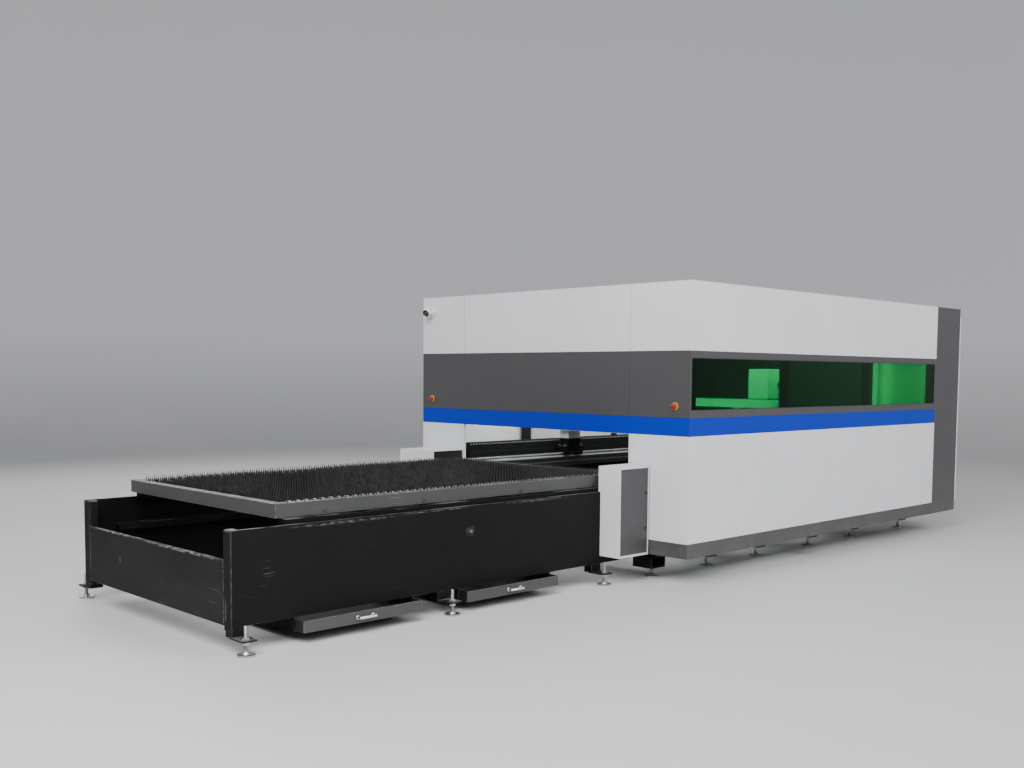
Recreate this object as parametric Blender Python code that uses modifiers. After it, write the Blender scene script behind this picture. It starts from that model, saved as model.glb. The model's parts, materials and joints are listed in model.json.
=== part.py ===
# Fibre laser cutting machine with an enclosed bed and a two-level exchange table.
#
# Metres, +Z up. +X runs from the exchange table into the enclosure, -Y is the near side.
# The origin is on the floor, in the middle of the machine's outline.

import bpy
import bmesh
import math
from mathutils import Matrix, Vector

# Overall sizes
enclosure_length = 4.448
enclosure_width = 2.974
enclosure_height = 2.200
exchange_reach = 3.343
cabinet_depth = 0.302

# Fits
gap = 0.0003
running_gap = 0.0005
hinge_gap = 0.0009

# Heights of the enclosure's bands of colour
plinth_bottom = 0.199
plinth_top = 0.307
stripe_bottom = 1.085
stripe_top = 1.217
window_band_top = 1.701
window_bottom = 1.272
window_top = 1.650

# Sheet metal
panel_depth = 0.025
sheet = 0.003
corner_round = 0.004

# Enclosure, measured along the machine from its front face
end_band_start = 3.940
mouth_inset = 0.004
post_starts = (1.229, 2.545)
post_width = 0.120
post_depth = 0.020
window_end = 3.930
pane_thickness = 0.006
pane_lap = 0.018
tube = 0.080
outrigger_starts = (0.55, 1.90, 3.30)
top_tube_starts = (1.25, 2.57, 3.84)
roof_rib_starts = (0.50, 1.50, 2.50, 3.50)
roof_rib_width = 0.040
roof_rib_depth = 0.020

# Machine bed
bed_start = 0.060
bed_end = 4.330
bed_clearance = 0.317
bed_beam_width = 0.235
bed_bottom = 0.235
bed_top = 0.735
cross_beam_top = 0.430
cross_beam_width = 0.140
cross_beam_count = 5

# Guide rails of the gantry
rail_offset = 0.050
rail_width = 0.040
rail_waist = 0.026
rail_height = 0.042
rail_inset = 0.060

# Gantry
gantry_middle = 1.436
carriage_length = 0.260
carriage_plate = 0.028
carriage_top = 0.912
pedestal_length = 0.170
guide_block_width = 0.090
guide_block_length = 0.110
carriage_reach = 0.110
beam_depth = 0.240
beam_bottom = 0.990
beam_top = 1.210
beam_overhang = 0.245
beam_rail_depth = 0.014
beam_rail_height = 0.030
trough_bottom = 1.258
trough_height = 0.068
trough_clearance = 0.170
trough_bracket_shares = (-0.76, -0.25, 0.25, 0.76)
trough_bracket_width = 0.060

# Cutting head
head_inset = 0.151
head_carriage_width = 0.280
head_plate_thickness = 0.040
head_plate_bottom = 0.960
head_plate_top = 1.304
motor_flange = 0.026
head_cover_top = 1.582
head_cover_width = 0.193
head_cover_depth = 0.180
nozzle_inset = 0.253
nozzle_tip = 0.870
head_body_top = 1.240
head_body_radius = 0.035
head_slide_half = 0.040

# Drag chain beside the far rail
chain_offset = 0.128
chain_width = 0.100
chain_height = 0.170
chain_link = 0.098
chain_start = 0.120
chain_length = 2.960

# Exchange table frame
table_lap = 0.0175
side_plate = 0.020
side_top = 0.672
side_bottom = 0.144
end_post_width = 0.087
end_post_depth = 0.060
end_plate_top = 0.507
end_plate = 0.012
table_cross_height = 0.070
table_cross_width = 0.080
table_crosses = (0.45, 1.35, 2.05, 2.90)

# Tracks for the two pallets
upper_track_top = 0.700
level_step = 0.200
track_height = 0.040
track_reach = 0.0955
upper_track_lap = 0.050
lower_track_start = 0.200

# Pallets
pallet_length = 2.990
pallet_clearance = 0.028
pallet_start = 0.305
pallet_top = 0.790
pallet_bottom = 0.709
pallet_end_tube = 0.060
side_member_flange = 0.060
side_member_wall = 0.010
top_flange = 0.008
pallet_cross_width = 0.050
pallet_cross_count = 4
wheel_radius = 0.030
wheel_width = 0.028
wheel_shares = (0.1107, 0.3592, 0.6445, 0.8896)
axle_radius = 0.008
axle_head_radius = 0.015
axle_head = 0.004
lower_pallet_inside = 0.410

# Support slats
slat_count = 50
slat_thickness = 0.004
slat_top = 0.824
slat_valley = 0.798
slat_first = 0.095
slat_teeth = 5
hidden_slat_teeth = 1
comb_thickness = 0.006
comb_bottom = 0.762
comb_top = 0.786

# Levelling feet
stud_radius = 0.010
pad_radius = 0.050
pad_height = 0.012
nut_radius = 0.017
nut_height = 0.010
foot_plate_height = 0.010
foot_plate_bottom = 0.080
stud_top = 0.165
table_foot_offset = 0.0795
table_feet = (0.039, 1.506, 2.966)
foot_plate_length = 0.100
bed_foot_offset = 0.115
bed_feet = (0.142, 0.850, 1.560, 2.400, 3.160, 4.140)

# Boxes beside the mouth
box_start = -0.340
box_end = -0.016
box_bottom = 0.200
box_top = 0.860
near_box_inset = 0.342
far_box_inset = 0.094
box_door_thickness = 0.018
box_door_margin = 0.010
box_door_rim = 0.018
box_door_recess = 0.004

# Slag trays
tray_spans = ((0.403, 1.253), (1.633, 2.473))
tray_overhang = 0.0845
tray_depth = 0.850
tray_bottom = 0.0645
tray_top = 0.133
tray_wall = 0.003
runner_wall = 0.006
runner_lip = 0.025
tray_handle_span = 0.120
tray_handle_radius = 0.006
tray_handle_reach = 0.030

# Rear cabinet
cabinet_inset = 0.100
cabinet_top = 2.130
cabinet_bottom = 0.270
cabinet_door_width = 0.800
cabinet_door_bottom = 0.460
cabinet_door_top = 2.080
cabinet_wall = 0.030
device_half = 0.600
device_plate = 0.010
device_rows = ((1.550, 1.700, 0.090, 1.0), (1.150, 1.280, 0.060, 0.92), (0.700, 0.980, 0.120, 0.40))
cabinet_handle_line = 0.050
cabinet_handle_width = 0.025
cabinet_handle_span = (1.150, 1.350)
cabinet_handle_reach = 0.025
door_thickness = 0.022

# Side doors on the far side
side_door_gap = 0.004
side_door_rim = 0.045
handle_length = 0.300
handle_bottom = 0.800
handle_spacing = 0.120
handle_reach = 0.040
handle_thickness = 0.012

# Emergency stops
stop_inset = 0.130
stop_height = 1.300
stop_base_radius = 0.030
stop_base_height = 0.006
stop_neck_radius = 0.014
stop_neck_depth = 0.012
stop_cap_radius = 0.020
stop_travel = 0.006
stop_hole_radius = 0.0145

# Camera on the front
camera_inset = 0.122
camera_drop = 0.130
camera_base_radius = 0.050
camera_base_height = 0.022
camera_ball_radius = 0.040

# Places worked out from the sizes above
pad_overhang = pad_radius - table_feet[0]
total_length = pad_overhang + exchange_reach + enclosure_length + cabinet_depth
table_end = pad_overhang - total_length / 2
front = table_end + exchange_reach
side = enclosure_width / 2
bed_inner = side - bed_clearance - bed_beam_width
mouth_half = bed_inner - mouth_inset
rail_line = bed_inner + rail_offset
carriage_outer = bed_inner + carriage_reach
beam_half_length = bed_inner + beam_overhang
trough_half_length = side - trough_clearance
trough_bracket_lines = [beam_half_length * share for share in trough_bracket_shares]
head_middle = head_inset - beam_half_length
nozzle_line = nozzle_inset - beam_half_length
chain_inner = bed_inner + chain_offset
table_half_width = bed_inner + table_lap
track_inner = table_half_width - track_reach
pallet_half_width = bed_inner - pallet_clearance
table_foot_line = table_half_width + table_foot_offset
bed_foot_line = bed_inner + bed_foot_offset
near_box_outer = side - near_box_inset
far_box_outer = side - far_box_inset
tray_front = table_half_width + tray_overhang
pallet_rest = table_end + pallet_start
lower_rest = front + lower_pallet_inside
frame_face = panel_depth + gap
gantry_x = front + gantry_middle
beam_front = gantry_x + beam_depth / 2
slat_half = pallet_half_width - side_member_flange - comb_thickness
wheel_offsets = [pallet_length * share for share in wheel_shares]
stop_line = side - stop_inset
camera_line = side - camera_inset
camera_height = enclosure_height - camera_drop
door_start = post_starts[0] + post_width
door_end = post_starts[1]
leaf_face = side - handle_reach - 0.002


def new_collection(name):
    """Make a collection and link it to the scene."""
    collection = bpy.data.collections.new(name)
    bpy.context.scene.collection.children.link(collection)
    return collection


def material(name, color, roughness, metallic=0.0, alpha=1.0):
    """One Principled finish."""
    made = bpy.data.materials.new(name)
    made.use_nodes = True
    shader = made.node_tree.nodes["Principled BSDF"]
    shader.inputs["Base Color"].default_value = (*color, 1.0)
    shader.inputs["Roughness"].default_value = roughness
    shader.inputs["Metallic"].default_value = metallic
    shader.inputs["Alpha"].default_value = alpha
    return made


def put(name, bm, finish, collection=None):
    """Turn a bmesh into an object of the machine."""
    mesh = bpy.data.meshes.new(name)
    bm.normal_update()
    bm.to_mesh(mesh)
    bm.free()
    piece = bpy.data.objects.new(name, mesh)
    (collection or machine).objects.link(piece)
    if finish:
        mesh.materials.append(finish)
    return piece


def block(name, low, high, finish=None, collection=None, round_edges=0.0, segments=2):
    """A rectangular piece between two corners."""
    bm = bmesh.new()
    bmesh.ops.create_cube(bm, size=1.0)
    low, high = Vector(low), Vector(high)
    bmesh.ops.scale(bm, verts=bm.verts, vec=high - low)
    bmesh.ops.translate(bm, verts=bm.verts, vec=(low + high) / 2)
    piece = put(name, bm, finish, collection)
    if round_edges:
        bevel = piece.modifiers.new("Rounded edges", "BEVEL")
        bevel.width = round_edges
        bevel.segments = segments
    return piece


def disc(name, start, axis, radius, length, finish=None, collection=None, sides=16, end_radius=None):
    """A cylinder or cone that starts at a point and runs along an axis."""
    bm = bmesh.new()
    tip = radius if end_radius is None else end_radius
    bmesh.ops.create_cone(bm, cap_ends=True, segments=sides, radius1=radius, radius2=tip, depth=length)
    bmesh.ops.translate(bm, verts=bm.verts, vec=(0, 0, length / 2))
    turn = Vector((0, 0, 1)).rotation_difference(Vector(axis)).to_matrix().to_4x4()
    bmesh.ops.transform(bm, matrix=Matrix.Translation(start) @ turn, verts=bm.verts)
    return put(name, bm, finish, collection)


def prism(name, outline, plane, start, end, finish=None, collection=None):
    """A flat outline pushed along the axis that its plane leaves out, as in a rolled section."""
    places = {"XY": (0, 1, 2), "YZ": (1, 2, 0), "XZ": (0, 2, 1)}[plane]
    bm = bmesh.new()
    corners = []
    for a, b in outline:
        point = [0.0, 0.0, 0.0]
        point[places[0]], point[places[1]], point[places[2]] = a, b, start
        corners.append(bm.verts.new(point))
    face = bm.faces.new(corners)
    way = [0.0, 0.0, 0.0]
    way[places[2]] = end - start
    grown = bmesh.ops.extrude_face_region(bm, geom=[face])
    moved = [item for item in grown["geom"] if isinstance(item, bmesh.types.BMVert)]
    bmesh.ops.translate(bm, verts=moved, vec=way)
    bmesh.ops.recalc_face_normals(bm, faces=bm.faces)
    return put(name, bm, finish, collection)


def fixed_mesh(piece):
    """Apply the piece's modifiers to its mesh."""
    bpy.context.view_layer.update()
    graph = bpy.context.evaluated_depsgraph_get()
    mesh = bpy.data.meshes.new_from_object(piece.evaluated_get(graph))
    piece.modifiers.clear()
    piece.data = mesh
    return piece


def combine(piece, others, how):
    """Join other shapes to a piece, or cut them from it, and keep the result as its mesh."""
    helpers = bpy.data.collections.new("helpers")
    bpy.context.scene.collection.children.link(helpers)
    for other in others:
        for home in list(other.users_collection):
            home.objects.unlink(other)
        helpers.objects.link(other)
    change = piece.modifiers.new(how.title(), "BOOLEAN")
    change.operation = how
    change.operand_type = "COLLECTION"
    change.collection = helpers
    change.solver = "EXACT"
    fixed_mesh(piece)
    for other in others:
        bpy.data.objects.remove(other)
    bpy.data.collections.remove(helpers)
    return piece


def weld(name, pieces, finish):
    """Join several shapes into one welded piece."""
    base = combine(pieces[0], pieces[1:], "UNION")
    for home in list(base.users_collection):
        home.objects.unlink(base)
    machine.objects.link(base)
    base.name = name
    base.data.name = name
    base.data.materials.clear()
    base.data.materials.append(finish)
    return base


def cut(piece, cutters):
    """Cut shapes from a piece."""
    return combine(piece, cutters, "DIFFERENCE")


def tool(low, high):
    """A block that is welded to, or cut from, another shape."""
    return block("tool", low, high, None, tools)


def folded_panel(name, outline, open_edges, bottom, top, finish, thickness=sheet):
    """A sheet panel folded from one blank: a plan outline with its inner sides left open."""
    bm = bmesh.new()
    low = [bm.verts.new((x, y, bottom)) for x, y in outline]
    high = [bm.verts.new((x, y, top)) for x, y in outline]
    bm.faces.new(list(reversed(low)))
    bm.faces.new(high)
    count = len(outline)
    for n in range(count):
        if n not in open_edges:
            m = (n + 1) % count
            bm.faces.new((low[n], low[m], high[m], high[n]))
    bmesh.ops.recalc_face_normals(bm, faces=bm.faces)
    panel = put(name, bm, finish)
    wall = panel.modifiers.new("Sheet", "SOLIDIFY")
    wall.thickness = thickness
    wall.offset = -1.0
    wall.use_even_offset = True
    return panel


def corner_panel(name, sign, end, bottom, top, finish):
    """A panel that runs along a side and turns the front corner to the mouth."""
    x1 = front + end
    y0, y1 = -side, -mouth_half - gap / 2
    outline = [
        (x1, y0 + panel_depth),
        (front + panel_depth, y0 + panel_depth),
        (front + panel_depth, y1),
        (front, y1),
        (front, y0),
        (x1, y0),
    ]
    open_edges = (0, 1)
    if sign > 0:
        outline = [(x, -y) for x, y in reversed(outline)]
        open_edges = (3, 4)
    return folded_panel(name, outline, open_edges, bottom, top, finish)


def straight_panel(name, sign, start, end, bottom, top, finish, depth=panel_depth):
    """A panel along one side of the enclosure, open towards the inside."""
    outer, inner = sign * side, sign * (side - depth)
    low, high = min(outer, inner), max(outer, inner)
    outline = [(front + start, low), (front + end, low), (front + end, high), (front + start, high)]
    open_edge = 2 if sign < 0 else 0
    return folded_panel(name, outline, (open_edge,), bottom, top, finish)


def front_panel(name, bottom, top, finish):
    """The panel over the mouth, between the corner panels."""
    half = mouth_half - gap / 2
    outline = [(front, -half), (front + panel_depth, -half), (front + panel_depth, half), (front, half)]
    return folded_panel(name, outline, (1,), bottom, top, finish)


def window_hole(start, end, sign):
    """The hole for a pane in the window band."""
    y0, y1 = sorted((sign * (side + 0.01), sign * (side - sheet - 0.002)))
    return tool((front + start, y0, window_bottom), (front + end, y1, window_top))


def stop_hole(sign):
    """The hole in the front for an emergency stop's neck."""
    start = (front + panel_depth, sign * stop_line, stop_height)
    return disc("tool", start, (-1, 0, 0), stop_hole_radius, 2 * panel_depth, None, tools, 12)


def pane(name, start, end, sign):
    """Laser-safe glass, set behind the panel's skin."""
    outer = side - sheet - gap
    y0, y1 = sorted((sign * outer, sign * (outer - pane_thickness)))
    low = (front + start, y0, window_bottom - pane_lap)
    high = (front + end, y1, window_top + pane_lap)
    return block(name, low, high, glass)


def spread(count, first, last):
    """Evenly spaced places from first to last."""
    return [first + (last - first) * n / (count - 1) for n in range(count)]


def make_enclosure_panels():
    """The painted sheet panels, band by band."""
    bands = end_band_start - gap
    rear_start = door_end + gap
    low, high = plinth_top + gap, stripe_bottom - gap
    corner_panel("lower_panel_near", -1, bands, low, high, white)
    corner_panel("lower_panel_far_front", 1, door_start - gap, low, high, white)
    straight_panel("lower_panel_far_rear", 1, rear_start, bands, low, high, white)

    low, high = stripe_bottom, stripe_top - gap
    x1 = front + bands
    x2 = front + door_start - gap
    y = side
    d = panel_depth
    stripe = [
        (x1, -y + d),
        (front + d, -y + d),
        (front + d, y - d),
        (x2, y - d),
        (x2, y),
        (front, y),
        (front, -y),
        (x1, -y),
    ]
    folded_panel("stripe_front", stripe, (0, 1, 2), low, high, blue)
    straight_panel("stripe_far_rear", 1, rear_start, bands, low, high, blue)

    low, high = stripe_top, window_band_top - gap
    near = corner_panel("window_band_near", -1, bands, low, high, grey)
    fixed_mesh(near)
    cut(near, [window_hole(pane_lap, window_end - pane_lap, -1), stop_hole(-1)])
    far = corner_panel("window_band_far_front", 1, door_start - gap, low, high, grey)
    fixed_mesh(far)
    cut(far, [window_hole(pane_lap + panel_depth, post_starts[0], 1), stop_hole(1)])
    rear = straight_panel("window_band_far_rear", 1, rear_start, bands, low, high, grey)
    fixed_mesh(rear)
    cut(rear, [window_hole(post_starts[1] + post_width, window_end - pane_lap, 1)])
    front_panel("header_grey", low, high, grey)

    low, high = window_band_top, enclosure_height - sheet - gap
    corner_panel("top_panel_near", -1, bands, low, high, white)
    corner_panel("top_panel_far", 1, bands, low, high, white)
    front_panel("header_white", low, high, white)


def make_panes():
    """Green panes: three along the near side, two fixed on the far side."""
    first, second = post_starts[0] + post_width / 2, post_starts[1] + post_width
    starts = (panel_depth + gap, first + gap, second + gap)
    ends = (first, second, window_end + 0.002)
    for n, (start, end) in enumerate(zip(starts, ends), 1):
        pane(f"window_near_{n}", start, end, -1)
    pane("window_far_front", panel_depth + gap, post_starts[0] + pane_lap, 1)
    pane("window_far_rear", post_starts[1] + post_width - pane_lap, window_end + 0.002, 1)


def make_plinth():
    """The dark skirt under both sides and the two front corners."""
    y1 = side
    d = panel_depth
    x1 = front + end_band_start - gap
    half = mouth_half
    for name, sign in (("plinth_near", -1), ("plinth_far", 1)):
        outline = [
            (x1, -y1 + d),
            (front + d, -y1 + d),
            (front + d, -half),
            (front, -half),
            (front, -y1),
            (x1, -y1),
        ]
        open_edges = (0, 1)
        if sign > 0:
            outline = [(x, -y) for x, y in reversed(outline)]
            open_edges = (3, 4)
        folded_panel(name, outline, open_edges, plinth_bottom, plinth_top, grey)


def make_end_band_and_roof():
    """The grey portal behind the panels, and the roof sheet."""
    x0 = front + end_band_start
    x1 = front + enclosure_length
    d = tube
    pieces = [
        tool((x0, -side, plinth_bottom), (x1, -side + d, enclosure_height)),
        tool((x0, side - d, plinth_bottom), (x1, side, enclosure_height)),
        tool((x0, -side + 0.001, enclosure_height - d), (x1, side - 0.001, enclosure_height)),
        tool((x1 - sheet, -side + d / 2, plinth_bottom), (x1, side - d / 2, enclosure_height - d / 2)),
    ]
    weld("end_band", pieces, grey)
    roof = block(
        "roof",
        (front, -side, enclosure_height - sheet),
        (x0 - gap, side, enclosure_height),
        white,
    )
    ribs = []
    for x in roof_rib_starts:
        low = (front + x, -side + tube, enclosure_height - sheet - roof_rib_depth)
        high = (front + x + roof_rib_width, side - tube, enclosure_height - sheet / 3)
        ribs.append(tool(low, high))
    combine(roof, ribs, "UNION")


def make_enclosure_frame():
    """The welded tube frame that the panels hang on, with its arms to the bed."""
    t = tube
    x0 = front + frame_face
    x1 = front + end_band_start - gap - 0.001
    y_out = side - frame_face
    top = enclosure_height - sheet - roof_rib_depth - 2 * gap
    base = plinth_bottom + 0.02
    pieces = []
    for sign in (-1, 1):
        ya, yb = sorted((sign * y_out, sign * (y_out - t)))
        pieces.append(tool((x0, ya, base), (x1, yb, base + t)))
        pieces.append(tool((x0, ya, top - t), (x1, yb, top)))
        for x in (x0, x1 - t):
            pieces.append(tool((x, ya + 0.001, base + 0.01), (x + t, yb - 0.001, top - 0.01)))
        yc, yd = sorted((sign * (y_out - pane_thickness - 0.002), sign * (y_out - post_depth)))
        for x in post_starts:
            pieces.append(tool((front + x, yc, base + 0.01), (front + x + post_width, yd, top - 0.01)))
        inner = bed_inner + bed_beam_width + gap
        ye, yf = sorted((sign * inner, sign * (y_out - t / 2)))
        for x in outrigger_starts:
            pieces.append(tool((front + x, ye, base + 0.02), (front + x + t, yf, base + t - 0.01)))
    for z in (stripe_bottom + 0.03, top - t):
        pieces.append(tool((x0 + 0.001, -y_out + 0.002, z), (x0 + t - 0.001, y_out - 0.002, z + t - 0.001)))
    for x in top_tube_starts:
        low = (front + x, -y_out + 0.01, top - t + 0.001)
        pieces.append(tool(low, (front + x + t, y_out - 0.01, top - 0.002)))
    weld("enclosure_frame", pieces, dark)


def foot_pieces(x, y, plate_low, plate_high, leg_low, leg_high, stud_end):
    """A levelling foot: pad, stud, lock nut, bracket plate and leg, ready to weld to its carrier."""
    lock_nut = foot_plate_bottom - nut_height + 0.0005
    return [
        disc("tool", (x, y, 0), (0, 0, 1), pad_radius, pad_height, None, tools, 12),
        disc("tool", (x, y, 0.004), (0, 0, 1), stud_radius, stud_end - 0.004, None, tools, 6),
        disc("tool", (x, y, lock_nut), (0, 0, 1), nut_radius, nut_height, None, tools, 6),
        tool(plate_low, plate_high),
        tool(leg_low, leg_high),
    ]


def make_bed():
    """The welded bed: two long beams, cross beams, pallet tracks, legs and feet."""
    x0, x1 = front + bed_start, front + bed_end
    outer = bed_inner + bed_beam_width
    pieces = []
    for sign in (-1, 1):
        ya, yb = sorted((sign * bed_inner, sign * outer))
        pieces.append(tool((x0, ya, bed_bottom), (x1, yb, bed_top)))
        yc, yd = sorted((sign * track_inner, sign * (bed_inner + 0.01)))
        for z in (upper_track_top, upper_track_top - level_step):
            pieces.append(tool((x0 + 0.01, yc, z - track_height), (front + end_band_start, yd, z)))
        for x in bed_feet:
            px, py = front + x, sign * bed_foot_line
            pieces += foot_pieces(
                px, py,
                (px - 0.06, py - 0.06, foot_plate_bottom),
                (px + 0.06, py + 0.06, foot_plate_bottom + foot_plate_height),
                (px - 0.045, py - 0.045, foot_plate_bottom + 0.005),
                (px + 0.045, py + 0.045, bed_bottom + 0.01),
                foot_plate_bottom + foot_plate_height / 2,
            )
    for x in spread(cross_beam_count, bed_start + 0.1, bed_end - 0.1 - cross_beam_width):
        low = (front + x, -bed_inner - 0.01, bed_bottom + 0.02)
        high = (front + x + cross_beam_width, bed_inner + 0.01, cross_beam_top)
        pieces.append(tool(low, high))
    weld("bed", pieces, dark)


def rail_outline(clear=0.0):
    """The section of a profile rail: wide foot, waist and head."""
    w, n = rail_width / 2 + clear, rail_waist / 2 + clear
    z0, z1 = bed_top + gap, bed_top + gap + rail_height + clear
    h = rail_height
    foot = [(w, z0 - clear), (w, z0 + 0.35 * h), (n, z0 + 0.5 * h)]
    half = foot + [(n, z0 + 0.62 * h), (w, z0 + 0.78 * h), (w, z1)]
    return half + [(-y, z) for y, z in reversed(half)]


def make_rails():
    """Two linear guide rails on top of the bed's beams."""
    for name, sign in (("rail_near", -1), ("rail_far", 1)):
        outline = [(y + sign * rail_line, z) for y, z in rail_outline()]
        prism(name, outline, "YZ", front + bed_start + rail_inset, front + bed_end - rail_inset, steel)


def make_gantry():
    """Carriages on the rails, the beam across them and the cable trough on top."""
    for name, sign in (("gantry_carriage_near", -1), ("gantry_carriage_far", 1)):
        x0, x1 = gantry_x - carriage_length / 2, gantry_x + carriage_length / 2
        ya, yb = sorted((sign * bed_inner, sign * carriage_outer))
        yc, yd = sign * rail_line - guide_block_width / 2, sign * rail_line + guide_block_width / 2
        z_low = bed_top + 0.014
        z_mid = bed_top + rail_height + 0.030
        half = pedestal_length / 2
        pieces = [
            tool((x0, ya, z_mid - 0.001), (x1, yb, z_mid + carriage_plate)),
            tool((gantry_x - half, ya + 0.001, z_mid), (gantry_x + half, yb - 0.001, carriage_top - gap)),
        ]
        for x in (x0, x1 - guide_block_length):
            pieces.append(tool((x, yc, z_low), (x + guide_block_length, yd, z_mid)))
        carriage = weld(name, pieces, dark)
        channel = [(y + sign * rail_line, z) for y, z in rail_outline(running_gap)]
        cut(carriage, [prism("tool", channel, "YZ", x0 - 0.01, x1 + 0.01, None, tools)])

    d = beam_depth / 2
    beam = block(
        "gantry_beam",
        (gantry_x - d, -beam_half_length, beam_bottom),
        (gantry_x + d, beam_half_length, beam_top),
        white,
    )
    extras = []
    for sign in (-1, 1):
        ya, yb = sorted((sign * (bed_inner + 0.001), sign * (carriage_outer - 0.001)))
        low = (gantry_x - pedestal_length / 2, ya, carriage_top)
        extras.append(tool(low, (gantry_x + pedestal_length / 2, yb, beam_bottom + 0.002)))
    for z in (beam_bottom + 0.03, beam_top - 0.07):
        low = (gantry_x + d - 0.002, -beam_half_length + 0.03, z)
        high = (gantry_x + d + beam_rail_depth, beam_half_length - 0.03, z + beam_rail_height)
        extras.append(tool(low, high))
    half = trough_bracket_width / 2
    for y in trough_bracket_lines:
        low = (gantry_x + 0.015, y - half, beam_top - 0.002)
        high = (gantry_x + d - 0.015, y + half, trough_bottom - gap)
        extras.append(tool(low, high))
    combine(beam, extras, "UNION")

    x0, x1 = gantry_x, gantry_x + d
    trough = block(
        "cable_trough",
        (x0, -trough_half_length, trough_bottom),
        (x1, trough_half_length, trough_bottom + trough_height),
        white,
    )
    hollow = tool(
        (x0 + sheet, -trough_half_length + sheet, trough_bottom + sheet),
        (x1 - sheet, trough_half_length - sheet, trough_bottom + trough_height + 0.01),
    )
    cut(trough, [hollow])


def make_cutting_head():
    """The carriage on the beam, its motor cover and the head that focuses up and down."""
    x0 = beam_front + beam_rail_depth + running_gap
    y0 = -beam_half_length + 0.03
    y1 = y0 + head_carriage_width
    half = head_cover_width / 2
    plate = tool((x0, y0, head_plate_bottom), (x0 + head_plate_thickness, y1, head_plate_top))
    flange = tool(
        (x0 + 0.002, head_middle - half + 0.02, head_plate_top - 0.002),
        (x0 + head_cover_depth - 0.03, head_middle + half - 0.02, head_plate_top + motor_flange),
    )
    weld("head_carriage", [plate, flange], dark)
    cover_low = (x0, head_middle - half, head_plate_top + motor_flange + gap)
    cover_high = (x0 + head_cover_depth, head_middle + half, head_cover_top)
    block("head_cover", cover_low, cover_high, white, None, corner_round)

    x_head = x0 + head_plate_thickness + running_gap + head_body_radius + 0.012
    y_head = nozzle_line
    profile = [
        (0.0, head_body_top),
        (head_body_radius, head_body_top),
        (head_body_radius, nozzle_tip + 0.110),
        (head_body_radius * 0.8, nozzle_tip + 0.095),
        (head_body_radius * 0.8, nozzle_tip + 0.060),
        (head_body_radius * 0.45, nozzle_tip + 0.030),
        (head_body_radius * 0.45, nozzle_tip + 0.018),
        (head_body_radius * 0.15, nozzle_tip),
        (0.0, nozzle_tip),
    ]
    bm = bmesh.new()
    points = [bm.verts.new((r, 0.0, z)) for r, z in profile]
    for a, b in zip(points, points[1:]):
        bm.edges.new((a, b))
    head = put("cutting_head", bm, steel)
    turn = head.modifiers.new("Turned", "SCREW")
    turn.steps = turn.render_steps = 20
    turn.use_merge_vertices = True
    turn.merge_threshold = 0.00001
    turn.use_smooth_shade = False
    fixed_mesh(head)
    head.data.transform(Matrix.Translation((x_head, y_head, 0.0)))
    slide = tool(
        (x0 + head_plate_thickness + running_gap, y_head - head_slide_half, nozzle_tip + 0.16),
        (x_head, y_head + head_slide_half, head_body_top - 0.02),
    )
    combine(head, [slide], "UNION")


def make_drag_chain():
    """The energy chain along the far rail: a folded run of links around one bend."""
    links = int(chain_length / chain_link)
    notch_w, notch_d = chain_link * 0.15, 0.007
    z0, z1 = bed_top + gap, bed_top + gap + chain_height
    x0 = front + chain_start
    lower, upper = [], []
    for n in range(links):
        a = x0 + chain_height / 2 + n * chain_link
        b = a + chain_link - notch_w
        c = a + chain_link
        lower += [(a, z0), (b, z0), (b, z0 + notch_d), (c, z0 + notch_d)]
        upper += [(a, z1), (b, z1), (b, z1 - notch_d), (c, z1 - notch_d)]
    r = chain_height / 2
    bend = [
        (x0 + r + r * math.cos(angle), z0 + r + r * math.sin(angle))
        for angle in spread(9, math.radians(90), math.radians(270))
    ]
    outline = lower + list(reversed(upper)) + bend[1:-1]
    prism("drag_chain", outline, "XZ", chain_inner, chain_inner + chain_width, rubber)


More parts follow.
